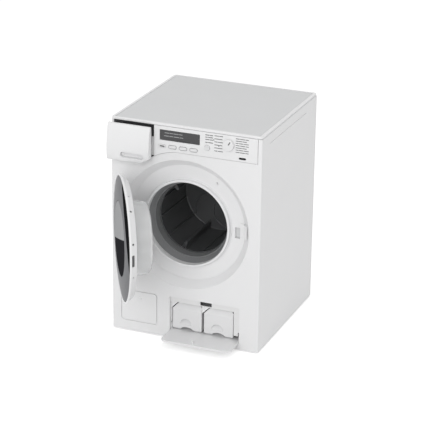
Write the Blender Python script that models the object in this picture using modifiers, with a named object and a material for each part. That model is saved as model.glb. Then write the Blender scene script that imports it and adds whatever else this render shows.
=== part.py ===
# A toy front-loading washing machine, about 18 x 18 x 26 cm, in its separate pieces.
# Metres, +Z up, the front faces -Y. The door stands ajar, the drawer is part way out and the lower
# flap is folded down. The origin is on the ground, half way from the door's tip to the back.

import math

import bmesh
import bpy

# Clearances
FIT = 0.0003  # between pieces fixed to each other
RUN = 0.0005  # between pieces that slide or swing past each other
OVERRUN = 0.001  # how far a cutter runs past the face that it cuts
LAP = 0.0005  # how far joined shapes sink into each other

# Cabinet
CABINET_WIDTH = 0.182
CABINET_DEPTH = 0.180
CABINET_HEIGHT = 0.260
WALL = 0.0025
BASE_THICKNESS = 0.003
TOP_THICKNESS = 0.0026
TOP_CORNER = 0.004
TOP_EDGE = 0.0006
TOP_RIM = 0.0036
TOP_INLAY_SINK = 0.0013
TOP_INLAY_THICKNESS = 0.0009
FRONT_CORNER = 0.0019
GROOVE_DROP = 0.014
GROOVE_FRONT_INSET = 0.0226
GROOVE_BACK_INSET = 0.0355
GROOVE_WIDTH = 0.0009
GROOVE_DEPTH = 0.0006

# Feet
FOOT_RADIUS = 0.007
FOOT_INSET = 0.016
FOOT_PROUD = 0.001  # how far the feet stand out under the cabinet
FOOT_SEAT = 0.0018
FOOT_EDGE = 0.0005

# Drum, its opening and the dish around it
AXIS_DROP = 0.1141  # under the top edge of the walls
OPENING_RADIUS = 0.0495
DISH_RADIUS = 0.0773
DISH_SLANT = 0.0083
DISH_DEPTH = 0.0095
DISH_WALL = 0.0022
DISH_RIM = 0.0022
LIP_WIDTH = 0.0026
LIP_HEIGHT = 0.0055
LIP_SLOPE = 0.0004
COLLAR_WALL = 0.0014
COLLAR_FLANGE = 0.0065
COLLAR_SEAM_RADIUS = 0.0452
COLLAR_SEAM_DEPTH = 0.0185
COLLAR_SEAM_STEP = 0.0007
COLLAR_END_RADIUS = 0.043
DRUM_FRONT_DEPTH = 0.029
DRUM_BACK_SPACE = 0.0681
DRUM_MOUTH_RADIUS = 0.0425
DRUM_RADIUS = 0.0463
DRUM_WALL = 0.0017
DRUM_BACK = 0.0024
DRUM_FILLET = 0.0013
DRUM_RIM = 0.0016
DRUM_RIM_EDGE = 0.0005
DRUM_GAP = 0.0012
DRUM_RIBS = 12
DRUM_PADDLE_EVERY = 4
DRUM_FIRST_RIB_ANGLE = math.radians(10)
RIB_HEIGHT = 0.0015
RIB_WIDTH = 0.0018
RIB_FRONT_GAP = 0.0035
RIB_BACK_GAP = 0.001
PADDLE_HEIGHT = 0.0085
PADDLE_WIDTH = 0.0062
PADDLE_TIP_SHARE = 0.45
RIDGES = 6
RIDGE_HEIGHT = 0.0012
RIDGE_WIDTH = 0.0022
RIDGE_INNER_RADIUS = 0.009
RIDGE_END_GAP = 0.003
RIDGE_SWEEP = math.radians(42)
HUB_RADIUS = 0.007
HUB_LENGTH = 0.0056

# Drive
SHAFT_RADIUS = 0.0025
SHAFT_TAIL = 0.0045
BUSH_WALL = 0.002
BUSH_RUN = 0.00015
BUSH_HEAD = 0.0012
BUSH_HEAD_THICKNESS = 0.0008
BULKHEAD_GAP = 0.0106
BULKHEAD_THICKNESS = 0.0025
BULKHEAD_HALF_HEIGHT = 0.073
BOSS_RADIUS = 0.0082
BOSS_REACH = 0.0028
GEAR_MODULE = 0.00125
GEAR_TEETH = 48
PINION_TEETH = 12
GEAR_WIDTH = 0.005
GEAR_BOSS_GAP = 0.0007
GEAR_BACKLASH = 0.00025
PRESSURE_ANGLE = math.radians(25)
ADDENDUM_SHARE = 0.9
DEDENDUM_SHARE = 1.2
MOTOR_SHAFT_RADIUS = 0.001
MOTOR_SHAFT_NOSE = 0.0009
MOTOR_RADIUS = 0.0105
MOTOR_LENGTH = 0.027
MOTOR_NOSE_RADIUS = 0.0042
MOTOR_NOSE_LENGTH = 0.0016
MOTOR_EDGE = 0.001
BRACKET_THICKNESS = 0.002
BRACKET_GEAR_GAP = 0.0018
BRACKET_MARGIN = 0.0045
BRACKET_LEG_GAP = 0.0095

# Door
DOOR_DISH_GAP = 0.0051
DOOR_PROUD = 0.0035
DOOR_LIP_SET = 0.0026
DOOR_LIP_SLOPE = 0.001
DOOR_LIP_INNER_SLOPE = 0.0008
DOOR_DEPTH = 0.0113
DOOR_TAPER = 0.0062
DOOR_EDGE = 0.0006
DOOR_RIM_WIDTH = 0.0055
DOOR_STRAIGHT = 0.001
DOOR_FLANGE_DEPTH = 0.0071
DOOR_FLANGE_THICKNESS = 0.0015
DOOR_POCKET_FLOOR = 0.0093
DOOR_POCKET_WALL = 0.0072
DOOR_LEDGE = 0.0018
DOOR_LEDGE_DEPTH = 0.0052
FACE_RIM_WIDTH = 0.0023
FACE_THICKNESS = 0.0018
FACE_EDGE_SET = 0.0032
FACE_SHOULDER = 0.0005
FACE_DOME_SHARES = ((0.95, 0.72), (0.78, 0.34))
WINDOW_RADIUS = 0.042
WINDOW_EDGE_SET = 0.0007
WINDOW_DOME_SHARES = ((0.9, 0.66), (0.55, 0.2))
WINDOW_THICKNESS = 0.0014
WINDOW_LEDGE = 0.0027
WINDOW_LEDGE_THICKNESS = 0.0011
BOWL_RADIUS = 0.0448
BOWL_END_RADIUS = 0.0395
BOWL_END_DEPTH = 0.0332
BOWL_CORNER = 0.0026
BOWL_WALL = 0.0016
BOWL_FLANGE = 0.007
BOWL_FLANGE_THICKNESS = 0.0014
DOOR_SLOT_LENGTH = 0.0135
DOOR_SLOT_WIDTH = 0.003
DOOR_SLOT_SINK = 0.0015
DOOR_SLOT_DEPTH = 0.0066
DOOR_REST_ANGLE = math.radians(57.5)

# Door hinge
PIVOT_DISH_GAP = 0.0057
PIVOT_SETBACK = 0.0115
ARM_RADIUS = 0.016
ARM_THICKNESS = 0.0026
ARM_HALF_HEIGHT = 0.010
ARM_START_ANGLE = math.radians(-32)
ARM_END_ANGLE = math.radians(98)
ARM_SPOKE_ANGLE = math.radians(94)
ARM_SWING_SPARE = math.radians(54)
ARM_CUT_GAP = 0.0005
EYE_RADIUS = 0.0036
HINGE_PIN_RADIUS = 0.0011
HINGE_EAR = 0.0025
HINGE_EAR_HALF_WIDTH = 0.0034
HINGE_EAR_TAIL = 0.0036
HINGE_PLATE_THICKNESS = 0.0018
HINGE_PLATE_MARGIN = 0.0035
SPOKE_SLOT_LOW = 0.0036
SPOKE_SLOT_HIGH = 0.006
SPOKE_SLOT_START = 0.0035

# Door catch and door switch
CATCH_RISE = 0.001  # above the drum's axis
CATCH_WIDTH = 0.0165
CATCH_THICKNESS = 0.0016
CATCH_WALL_GAP = 0.0008
CATCH_REACH = 0.0088
CATCH_NUB = 0.0007
CATCH_SLOT_WIDTH = 0.013
CATCH_SLOT_DROP = 0.004
CATCH_SLOT_DEPTH = 0.0014
CATCH_SLOT_INNER = 0.0572
CATCH_SLOT_OUTER = 0.0632
SWITCH_X = 0.0347
SWITCH_RISE = 0.052
SWITCH_PIN_RADIUS = 0.0012
SWITCH_PIN_PROUD = 0.0014
SWITCH_PIN_TAIL = 0.004
SWITCH_COLLAR = 0.0009
SWITCH_COLLAR_THICKNESS = 0.0008
SWITCH_WIDTH = 0.010
SWITCH_BODY_HEIGHT = 0.0075
SWITCH_DEPTH = 0.0085
SWITCH_TRAVEL = 0.0008

# Control panel
FASCIA_SIDE_INSET = 0.005
FASCIA_HEIGHT = 0.0286
FASCIA_DISH_GAP = 0.0092
FASCIA_PROUD = 0.0006
FASCIA_THICKNESS = 0.0025
FASCIA_EDGE = 0.0004
DISPLAY_INSET = 0.007
DISPLAY_LENGTH = 0.0485
DISPLAY_RISE = 0.0125  # above the fascia's lower edge, as the other rises here
DISPLAY_WIDTH = 0.0123
DISPLAY_CORNER = 0.0006
DISPLAY_SINK = 0.0002
DISPLAY_THICKNESS = 0.0011
BUTTONS = 4
FIRST_BUTTON_INSET = 0.0099
BUTTON_PITCH = 0.01273
BUTTON_RISE = 0.0056
BUTTON_LENGTH = 0.0086
BUTTON_WIDTH = 0.0034
BUTTON_PROUD = 0.0006
BUTTON_FLANGE = 0.0007
BUTTON_FLANGE_THICKNESS = 0.0008
BUTTON_STEM_RADIUS = 0.0011
BUTTON_TRAVEL = 0.001
BUTTON_DOME = 0.0003
START_INSET = 0.0642
START_RISE = 0.0108
START_RADIUS = 0.0032
START_PROUD = 0.001
DIAL_RIGHT_INSET = 0.0341
DIAL_RISE = 0.0176
DIAL_RADIUS = 0.0066
DIAL_PROUD = 0.0038
DIAL_EDGE = 0.0007
DIAL_SHAFT_RADIUS = 0.0018
DIAL_MARK_START = 0.0012
DIAL_MARK_END = 0.0056
DIAL_MARK_WIDTH = 0.0011
DIAL_MARK_DEPTH = 0.0004
DIAL_MARK_ANGLE = math.radians(58)
LENS_RIGHT_INSET = 0.0178
LENS_RISE = 0.0038
LENS_LENGTH = 0.0086
LENS_WIDTH = 0.0025
LENS_POCKET = 0.0015
LENS_PROUD = 0.0002
BOARD_GAP = 0.0077
BOARD_THICKNESS = 0.0016
BOARD_SIDE_INSET = 0.004
BOARD_BOTTOM_INSET = 0.002
BOARD_TOP_INSET = 0.003
POST_RADIUS = 0.002
POST_INSET = 0.0035
MEMBRANE_THICKNESS = 0.001
MEMBRANE_MARGIN = 0.003
SELECTOR_HALF_WIDTH = 0.006
SELECTOR_GAP = 0.0016
SELECTOR_SHAFT_DEPTH = 0.0038

# Detergent drawer
DRAWER_HEIGHT = 0.0433
DRAWER_WIDTH = 0.0518
DRAWER_SIDE_INSET = 0.0005
DRAWER_FASCIA_GAP = 0.0007
DRAWER_BULGE_SHARES = ((1.0, 0.28), (0.94, 0.42), (0.8, 0.64), (0.6, 0.86), (0.38, 1.0), (0.16, 0.97),
                       (0.04, 0.84), (0.0, 0.7))
DRAWER_BULGE = 0.0052
DRAWER_EDGE = 0.0009
GRIP_LEFT_INSET = 0.0168
GRIP_RIGHT_INSET = 0.0062
GRIP_RISE = 0.0081
GRIP_WIDTH = 0.0062
GRIP_DEPTH = 0.0054
TRAY_LEFT_INSET = 0.007
TRAY_RIGHT_INSET = 0.0038
TRAY_RISE = 0.0057
TRAY_HEIGHT = 0.028
TRAY_LENGTH = 0.051
TRAY_WALL = 0.0014
TRAY_POCKETS = 3
HOUSING_WALL = 0.0015
HOUSING_HEADROOM = 0.004
HOUSING_TAIL = 0.006
HOUSING_FLANGE_DROP = 0.001
HOUSING_FLANGE_LAP = 0.0015
DRAWER_REST = 0.009

# Lower flap, its recess and the pull-out canisters
RECESS_LEFT = -0.0187
RECESS_RIGHT = 0.0675
RECESS_BOTTOM = 0.0076
RECESS_TOP = 0.0524
RECESS_CORNER = 0.0012
FLAP_THICKNESS = 0.0023
FLAP_CHAMFER = 0.0024
FLAP_CORNER = 0.0045
FLAP_PIVOT_SETBACK = 0.0075
FLAP_PIVOT_HEIGHT = 0.0155
FLAP_LOWER_EDGE = 0.0086
EAR_THICKNESS = 0.0015
EAR_RADIUS = 0.0032
FLAP_PIN_RADIUS = 0.0012
FLAP_PIN_LENGTH = 0.0014
TONGUE_WIDTH = 0.0018
TONGUE_LENGTH = 0.0042
TONGUE_THICKNESS = 0.0018
TONGUE_DROP = 0.0034
FLAP_REST_ANGLE = math.radians(90)
CANISTER_WIDTH = 0.0361
CANISTER_BOTTOM = 0.0109
CANISTER_TOP = 0.045
CANISTER_FRONT_GAP = 0.004
CANISTER_LENGTH = 0.046
CANISTER_LEFT_GAP = 0.0004
CANISTER_SPACING = 0.003
CANISTER_WALL = 0.0015
CANISTER_CHAMFER = 0.0075
CANISTER_SMALL_CHAMFER = 0.0028
CANISTER_FOOT_CHAMFER = 0.0018
CANISTER_EDGE = 0.0006
CANISTER_EDGE_ANGLE = math.radians(60)
NOTCH_WIDTH = 0.017
NOTCH_HEIGHT = 0.0042
NOTCH_DEPTH = 0.010
THUMB_RADIUS = 0.0085
THUMB_OFFSET = 0.0112
THUMB_SINK = 0.0022
BAY_WALL = 0.0015
BAY_SIDE_GAP = 0.0013
BAY_FLOOR_START = 0.0187
BAY_TAIL = 0.0015
BAY_FLANGE = 0.0035
EAR_SLOT_TOP = 0.0050
LATCH_WIDTH = 0.0134
LATCH_SHIFT = 0.0045
LATCH_HEIGHT = 0.0052
LATCH_DEPTH = 0.0085
LATCH_POCKET = 0.0066
LATCH_CLEAR = 0.0007

# Panel that imitates a filter door, lower left
COVER_LEFT = -0.0775
COVER_RIGHT = -0.0393
COVER_BOTTOM = 0.013
COVER_TOP = 0.052
COVER_CORNER = 0.004
COVER_GROOVE = 0.0008
COVER_GROOVE_DEPTH = 0.0006
KNOB_DOT_RADIUS = 0.0024
KNOB_DOT_DROP = 0.0109
KNOB_DOT_PROUD = 0.0008

# Batteries
CELL_RADIUS = 0.007
CELL_LENGTH = 0.0485
CELL_NUB_RADIUS = 0.0026
CELL_NUB_LENGTH = 0.0012
CELL_EDGE = 0.0006
CELL_COUNT = 3
CELL_PITCH = 0.0152
CELL_SIDE_GAP = 0.0004
CONTACT_THICKNESS = 0.0006
CONTACT_INSET = 0.001
CONTACT_HALF_WIDTH = 0.006
BOX_BOTTOM = 0.010
BOX_WALL = 0.0015
BOX_BOSS_HEIGHT = 0.008
BOX_BOSS_HALF_WIDTH = 0.004
BOX_BOSS_DEPTH = 0.012
COVER_THICKNESS = 0.0022
THUMB_GROOVES = 4
THUMB_GROOVE_LENGTH = 0.018
THUMB_GROOVE_WIDTH = 0.0012
THUMB_GROOVE_PITCH = 0.0026
THUMB_GROOVE_DEPTH = 0.0006

# Loudspeaker
SPEAKER_X = 0.045
SPEAKER_DROP = 0.0591
SPEAKER_RADIUS = 0.0145
SPEAKER_FRAME = 0.0022
SPEAKER_BASKET_RADIUS = 0.0095
SPEAKER_BASKET_DEPTH = 0.0055
SPEAKER_MAGNET_RADIUS = 0.0075
SPEAKER_MAGNET_DEPTH = 0.0045
SPEAKER_CONE_RADIUS = 0.0125
SPEAKER_CONE_DEPTH = 0.003
SPEAKER_CAP_RADIUS = 0.004
GRILLE_SLOTS = 6
GRILLE_PITCH = 0.004
GRILLE_SLOT_WIDTH = 0.0018

# Screws
SCREW_RADIUS = 0.0012
SCREW_HEAD_RADIUS = 0.0024
SCREW_HEAD_HEIGHT = 0.0012
SCREW_LENGTH = 0.009
SCREW_INSET = 0.0065
SCREW_DROP = 0.018
SCREW_CLEAR = 0.0002
SCREW_CROSS_LENGTH = 0.0026
SCREW_CROSS_WIDTH = 0.0006
SCREW_CROSS_DEPTH = 0.0006
BACK_BOSS_HALF_WIDTH = 0.0042
BACK_BOSS_DEPTH = 0.0105

# Sides of round pieces, steps of arcs, and limits for merging points and smoothing edges
LARGE_SIDES = 48
DRUM_SIDES = 48
MEDIUM_SIDES = 24
SMALL_SIDES = 16
CORNER_STEPS = 4
ARC_STEPS = 10
POINT_MERGE = 0.000001
AXIS_MERGE = 0.00001
SMOOTH_ANGLE = math.radians(35)
EDGE_ANGLE = math.radians(40)

# Finishes: colour, roughness, metallic, alpha
WHITE = ((0.86, 0.86, 0.86), 0.32, 0.0, 1.0)
OFF_WHITE = ((0.78, 0.78, 0.78), 0.4, 0.0, 1.0)
PALE_GREY = ((0.66, 0.67, 0.68), 0.5, 0.0, 1.0)
COLLAR_GREY = ((0.36, 0.37, 0.38), 0.55, 0.0, 1.0)
DRUM_GREY = ((0.12, 0.125, 0.13), 0.4, 0.2, 1.0)
DARK_GREY = ((0.06, 0.062, 0.066), 0.5, 0.0, 1.0)
BLACK = ((0.02, 0.02, 0.022), 0.45, 0.0, 1.0)
SILVER = ((0.5, 0.51, 0.52), 0.25, 0.8, 1.0)
SMOKED = ((0.03, 0.03, 0.035), 0.08, 0.0, 1.0)
CLEAR = ((0.9, 0.92, 0.93), 0.05, 0.0, 0.3)
STEEL = ((0.6, 0.6, 0.62), 0.3, 1.0, 1.0)
BRONZE = ((0.55, 0.36, 0.18), 0.35, 1.0, 1.0)
BOARD_GREEN = ((0.04, 0.22, 0.09), 0.5, 0.0, 1.0)
RUBBER = ((0.09, 0.09, 0.09), 0.8, 0.0, 1.0)
CELL_SLEEVE = ((0.14, 0.16, 0.3), 0.35, 0.1, 1.0)
GEAR_WHITE = ((0.8, 0.79, 0.74), 0.45, 0.0, 1.0)

# Places that several pieces share
HALF_WIDTH = CABINET_WIDTH / 2
UNDERSIDE = FOOT_PROUD
BASE_TOP = UNDERSIDE + BASE_THICKNESS
PIVOT_X = -DISH_RADIUS - PIVOT_DISH_GAP
DISH_FLOOR_RADIUS = DISH_RADIUS - DISH_SLANT
DOOR_RADIUS = DISH_RADIUS - DOOR_DISH_GAP
DOOR_BACK_RADIUS = DOOR_RADIUS - DOOR_TAPER
DOOR_POCKET_RADIUS = DOOR_RADIUS - DOOR_POCKET_WALL
FACE_RADIUS = DOOR_RADIUS - FACE_RIM_WIDTH
DOOR_REACH = (
    (DOOR_RADIUS - PIVOT_X) * math.sin(DOOR_REST_ANGLE)
    + (PIVOT_SETBACK + DOOR_PROUD - DOOR_LIP_SET - DOOR_LIP_SLOPE) * math.cos(DOOR_REST_ANGLE)
)
FRONT = (DOOR_REACH - PIVOT_SETBACK - CABINET_DEPTH) / 2
BACK = FRONT + CABINET_DEPTH
INNER_X = HALF_WIDTH - WALL
FRONT_INSIDE = FRONT + WALL
BACK_INSIDE = BACK - WALL
PANEL_TOP = CABINET_HEIGHT - TOP_THICKNESS - FIT
AXIS_HEIGHT = PANEL_TOP - AXIS_DROP
AXIS = (0, 0, AXIS_HEIGHT)
FASCIA_ARC_RADIUS = DISH_RADIUS + FASCIA_DISH_GAP
CATCH_HEIGHT = AXIS_HEIGHT + CATCH_RISE
SWITCH_HEIGHT = AXIS_HEIGHT + SWITCH_RISE
SPEAKER_HEIGHT = PANEL_TOP - SPEAKER_DROP
DISH_FLOOR = FRONT + DISH_DEPTH
DISH_BACK = DISH_FLOOR + DISH_WALL
FASCIA_FRONT = FRONT - FASCIA_PROUD
FASCIA_BACK = FASCIA_FRONT + FASCIA_THICKNESS
BOARD_FRONT = FASCIA_BACK + BOARD_GAP
MEMBRANE_FRONT = BOARD_FRONT - FIT - MEMBRANE_THICKNESS
STEM_END = MEMBRANE_FRONT - FIT - BUTTON_TRAVEL
DRAWER_TOP = PANEL_TOP
DRAWER_BACK = FRONT_INSIDE
DRAWER_BOTTOM = DRAWER_TOP - DRAWER_HEIGHT
DRAWER_LEFT = -HALF_WIDTH + DRAWER_SIDE_INSET
DRAWER_RIGHT = DRAWER_LEFT + DRAWER_WIDTH
GRIP_LEFT = DRAWER_LEFT + GRIP_LEFT_INSET
GRIP_RIGHT = DRAWER_RIGHT - GRIP_RIGHT_INSET
GRIP_HEIGHT = DRAWER_BOTTOM + GRIP_RISE
TRAY_LEFT = DRAWER_LEFT + TRAY_LEFT_INSET
TRAY_RIGHT = DRAWER_RIGHT - TRAY_RIGHT_INSET
TRAY_BOTTOM = DRAWER_BOTTOM + TRAY_RISE
FASCIA_LEFT = DRAWER_RIGHT + DRAWER_FASCIA_GAP
FASCIA_RIGHT = HALF_WIDTH - FASCIA_SIDE_INSET
FASCIA_BOTTOM = PANEL_TOP - FASCIA_HEIGHT
DISPLAY_LEFT = FASCIA_LEFT + DISPLAY_INSET
DISPLAY_RIGHT = DISPLAY_LEFT + DISPLAY_LENGTH
DISPLAY_BOTTOM = FASCIA_BOTTOM + DISPLAY_RISE
DISPLAY_TOP = DISPLAY_BOTTOM + DISPLAY_WIDTH
BUTTON_HEIGHT = FASCIA_BOTTOM + BUTTON_RISE
BUTTON_CENTRES = [FASCIA_LEFT + FIRST_BUTTON_INSET + n * BUTTON_PITCH for n in range(BUTTONS)]
START_X = FASCIA_LEFT + START_INSET
START_HEIGHT = FASCIA_BOTTOM + START_RISE
DIAL_X = FASCIA_RIGHT - DIAL_RIGHT_INSET
DIAL_HEIGHT = FASCIA_BOTTOM + DIAL_RISE
LENS_X = FASCIA_RIGHT - LENS_RIGHT_INSET
LENS_HEIGHT = FASCIA_BOTTOM + LENS_RISE
DRUM_FRONT = FRONT + DRUM_FRONT_DEPTH
DRUM_REAR = BACK_INSIDE - DRUM_BACK_SPACE
HUB_END = DRUM_REAR + HUB_LENGTH
BULKHEAD_FRONT = DRUM_REAR + BULKHEAD_GAP
BULKHEAD_BACK = BULKHEAD_FRONT + BULKHEAD_THICKNESS
GEAR_FRONT = BULKHEAD_BACK + BOSS_REACH + GEAR_BOSS_GAP
GEAR_BACK = GEAR_FRONT + GEAR_WIDTH
MOTOR_HEIGHT = AXIS_HEIGHT - GEAR_MODULE * (GEAR_TEETH + PINION_TEETH) / 2
BRACKET_FRONT = GEAR_BACK + BRACKET_GEAR_GAP
BRACKET_BACK = BRACKET_FRONT + BRACKET_THICKNESS
PIVOT = (PIVOT_X, FRONT + PIVOT_SETBACK, AXIS_HEIGHT)
DOOR_FRONT = FRONT - DOOR_PROUD
FLAP_PIVOT = (0, FRONT + FLAP_PIVOT_SETBACK, FLAP_PIVOT_HEIGHT)
CANISTER_FRONT = FRONT + CANISTER_FRONT_GAP
CANISTER_BACK = CANISTER_FRONT + CANISTER_LENGTH
FLAP_LEFT = RECESS_LEFT + FIT
FLAP_RIGHT = RECESS_RIGHT - FIT
FLAP_TOP = RECESS_TOP - FIT
FIRST_CANISTER_LEFT = FLAP_LEFT + EAR_THICKNESS + CANISTER_LEFT_GAP
SECOND_CANISTER_LEFT = FIRST_CANISTER_LEFT + CANISTER_WIDTH + CANISTER_SPACING
TONGUE_X = SECOND_CANISTER_LEFT - CANISTER_SPACING / 2
BAY_TOP = RECESS_TOP
BAY_RIGHT = SECOND_CANISTER_LEFT + CANISTER_WIDTH + BAY_SIDE_GAP
CELL_AXIS = BACK_INSIDE - FIT - CELL_RADIUS - CELL_SIDE_GAP
BOX_INNER_FRONT = CELL_AXIS - CELL_RADIUS - CELL_SIDE_GAP
BOX_INNER_HALF = CELL_LENGTH / 2 + CONTACT_THICKNESS + FIT + FIT
BOX_INNER_BOTTOM = BOX_BOTTOM + BOX_WALL
BOX_INNER_TOP = BOX_INNER_BOTTOM + CELL_COUNT * CELL_PITCH + CELL_SIDE_GAP
BOX_BOSS_TOP = BOX_INNER_TOP + BOX_WALL + BOX_BOSS_HEIGHT
COVER_SCREW_HEIGHT = BOX_BOSS_TOP - BOX_BOSS_HEIGHT / 2
SCREW_X = HALF_WIDTH - SCREW_INSET
SCREW_HEIGHT = PANEL_TOP - SCREW_DROP

# Ways to turn a flat or turned shape into place
FACE_FRONT = (math.pi / 2, 0, 0)
FACE_SIDE = (math.pi / 2, 0, math.pi / 2)
FACE_UP = (0, 0, 0)

for old in list(bpy.data.objects):
    bpy.data.objects.remove(old, do_unlink=True)
PARTS = bpy.data.collections.new("toy_washing_machine")
TOOLS = bpy.data.collections.new("cutters")
bpy.context.scene.collection.children.link(PARTS)
bpy.context.scene.collection.children.link(TOOLS)


# Helpers


def add_object(name, mesh, location, turn, finish):
    """An object for a part, or without a finish for a shape that cuts or joins one."""
    thing = bpy.data.objects.new(name, mesh)
    thing.location = location
    thing.rotation_euler = turn
    if finish:
        PARTS.objects.link(thing)
        mesh.materials.append(material_for(name, finish))
    else:
        TOOLS.objects.link(thing)
        thing.hide_render = True
        thing.display_type = "WIRE"
    return thing


def material_for(name, finish):
    """A part's own plastic, metal or rubber."""
    colour, roughness, metallic, alpha = finish
    material = bpy.data.materials.new(name)
    material.use_nodes = True
    shader = material.node_tree.nodes["Principled BSDF"]
    shader.inputs["Base Color"].default_value = (*colour, 1)
    shader.inputs["Roughness"].default_value = roughness
    shader.inputs["Metallic"].default_value = metallic
    shader.inputs["Alpha"].default_value = alpha
    material.diffuse_color = (*colour, alpha)
    return material


def box(name, low, high, finish=None):
    """A block between two corners."""
    mesh = bpy.data.meshes.new(name)
    shape = bmesh.new()
    bmesh.ops.create_cube(shape, size=1)
    bmesh.ops.scale(shape, vec=[b - a for a, b in zip(low, high)], verts=shape.verts)
    shape.to_mesh(mesh)
    shape.free()
    centre = [(a + b) / 2 for a, b in zip(low, high)]
    return add_object(name, mesh, centre, FACE_UP, finish)


def rod(name, start, end, radius, finish=None, sides=SMALL_SIDES):
    """A round bar along X, Y or Z."""
    mesh = bpy.data.meshes.new(name)
    shape = bmesh.new()
    length = sum(abs(b - a) for a, b in zip(start, end))
    bmesh.ops.create_cone(
        shape, cap_ends=True, segments=sides, radius1=radius, radius2=radius, depth=length
    )
    shape.to_mesh(mesh)
    shape.free()
    mesh.shade_smooth()
    mesh.set_sharp_from_angle(angle=SMOOTH_ANGLE)
    turn = FACE_UP
    if start[1] != end[1]:
        turn = FACE_FRONT
    if start[0] != end[0]:
        turn = (0, math.pi / 2, 0)
    centre = [(a + b) / 2 for a, b in zip(start, end)]
    return add_object(name, mesh, centre, turn, finish)


def signed_area(points):
    """Twice the area inside a loop of points, negative when it runs clockwise."""
    following = points[1:] + points[:1]
    return sum(a[0] * b[1] - b[0] * a[1] for a, b in zip(points, following))


def turned(name, profile, finish=None, sides=LARGE_SIDES, centre=AXIS):
    """A shape turned about a line along Y, from (radius, y) points round its section."""
    points = [(radius, -y) for radius, y in profile]
    if signed_area(points) > 0:
        points.reverse()
    closed = all(radius > 0 for radius, height in points)
    if not closed:
        while not (points[0][0] == 0 and points[-1][0] == 0):
            points = points[1:] + points[:1]
    mesh = bpy.data.meshes.new(name)
    joins = [(n, n + 1) for n in range(len(points) - 1)]
    if closed:
        joins.append((len(points) - 1, 0))
    mesh.from_pydata([(radius, 0, height) for radius, height in points], joins, [])
    part = add_object(name, mesh, (centre[0], 0, centre[2]), FACE_FRONT, finish)
    spin = part.modifiers.new("spin", "SCREW")
    spin.steps = sides
    spin.render_steps = sides
    spin.use_merge_vertices = True
    spin.merge_threshold = AXIS_MERGE
    spin.use_smooth_shade = True
    return part


def plate(name, loops, low, high, finish=None, turn=FACE_FRONT):
    """A flat outline, with any holes, given thickness from low to high along its normal."""
    curve = bpy.data.curves.new(name, "CURVE")
    curve.dimensions = "2D"
    curve.fill_mode = "BOTH"
    curve.extrude = (high - low) / 2
    for loop in loops:
        spline = curve.splines.new("POLY")
        spline.points.add(len(loop) - 1)
        for point, (across, along) in zip(spline.points, loop):
            point.co = (across, along, 0, 1)
        spline.use_cyclic_u = True
    sketch = bpy.data.objects.new(name + "_outline", curve)
    middle = (low + high) / 2
    sketch.location = {
        FACE_FRONT: (0, middle, 0),
        FACE_SIDE: (middle, 0, 0),
        FACE_UP: (0, 0, middle),
    }[turn]
    sketch.rotation_euler = turn
    TOOLS.objects.link(sketch)
    bpy.context.view_layer.update()
    mesh = bpy.data.meshes.new_from_object(
        sketch.evaluated_get(bpy.context.evaluated_depsgraph_get())
    )
    mesh.materials.clear()
    shape = bmesh.new()
    shape.from_mesh(mesh)
    bmesh.ops.remove_doubles(shape, verts=shape.verts, dist=POINT_MERGE)
    bmesh.ops.recalc_face_normals(shape, faces=shape.faces)
    shape.to_mesh(mesh)
    shape.free()
    part = add_object(name, mesh, sketch.location, turn, finish)
    part.matrix_world = sketch.matrix_world
    bpy.data.objects.remove(sketch, do_unlink=True)
    return part


def arc(centre, radius, start, end, steps=ARC_STEPS):
    """Points on an arc from one angle to another, both ends included."""
    angles = [start + (end - start) * n / steps for n in range(steps + 1)]
    return [(centre[0] + radius * math.cos(a), centre[1] + radius * math.sin(a)) for a in angles]


def rounded(left, bottom, right, top, corner):
    """A rectangle's outline with round corners."""
    quarter = math.pi / 2
    centres = (
        (right - corner, top - corner),
        (left + corner, top - corner),
        (left + corner, bottom + corner),
        (right - corner, bottom + corner),
    )
    points = []
    for turn, centre in enumerate(centres):
        points += arc(centre, corner, turn * quarter, (turn + 1) * quarter, CORNER_STEPS)
    return points


def stadium(centre, length, width):
    """A slot's outline with half-round ends, lying along its first axis."""
    reach = (length - width) / 2
    half = math.pi / 2
    steps = 2 * CORNER_STEPS
    right = arc((centre[0] + reach, centre[1]), width / 2, -half, half, steps)
    left = arc((centre[0] - reach, centre[1]), width / 2, half, half + math.pi, steps)
    return right + left


def band(points, width):
    """The outline of a strip of even width along a line of points."""
    left, right = [], []
    for n, (across, along) in enumerate(points):
        before = points[max(n - 1, 0)]
        after = points[min(n + 1, len(points) - 1)]
        run = math.hypot(after[0] - before[0], after[1] - before[1])
        side = (-(after[1] - before[1]) / run * width / 2, (after[0] - before[0]) / run * width / 2)
        left.append((across + side[0], along + side[1]))
        right.append((across - side[0], along - side[1]))
    return left + right[::-1]


def combine(part, tool, operation):
    """Joins a shape to a part, or cuts it out of it."""
    step = part.modifiers.new(tool.name, "BOOLEAN")
    step.operation = operation
    step.object = tool
    step.solver = "EXACT"
    return part


def cut(part, *tools):
    for tool in tools:
        combine(part, tool, "DIFFERENCE")
    return part


def join(part, *tools):
    for tool in tools:
        combine(part, tool, "UNION")
    return part


def soften(part, width, segments=2, angle=EDGE_ANGLE):
    """Rounds the sharp edges that a shape has so far."""
    step = part.modifiers.new("edges", "BEVEL")
    step.width = width
    step.segments = segments
    step.limit_method = "ANGLE"
    step.angle_limit = angle
    return part


def pivot(name, location):
    """An empty on a joint's axis."""
    empty = bpy.data.objects.new(name, None)
    empty.location = location
    PARTS.objects.link(empty)
    return empty


def hang(parent, *things):
    """Hangs pieces and their cutters on an empty that isn't turned yet."""
    for thing in things:
        tools = [step.object for step in thing.modifiers if step.type == "BOOLEAN"]
        for item in [thing] + tools:
            item.parent = parent
            item.location = item.location - parent.location


# Cabinet


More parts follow.
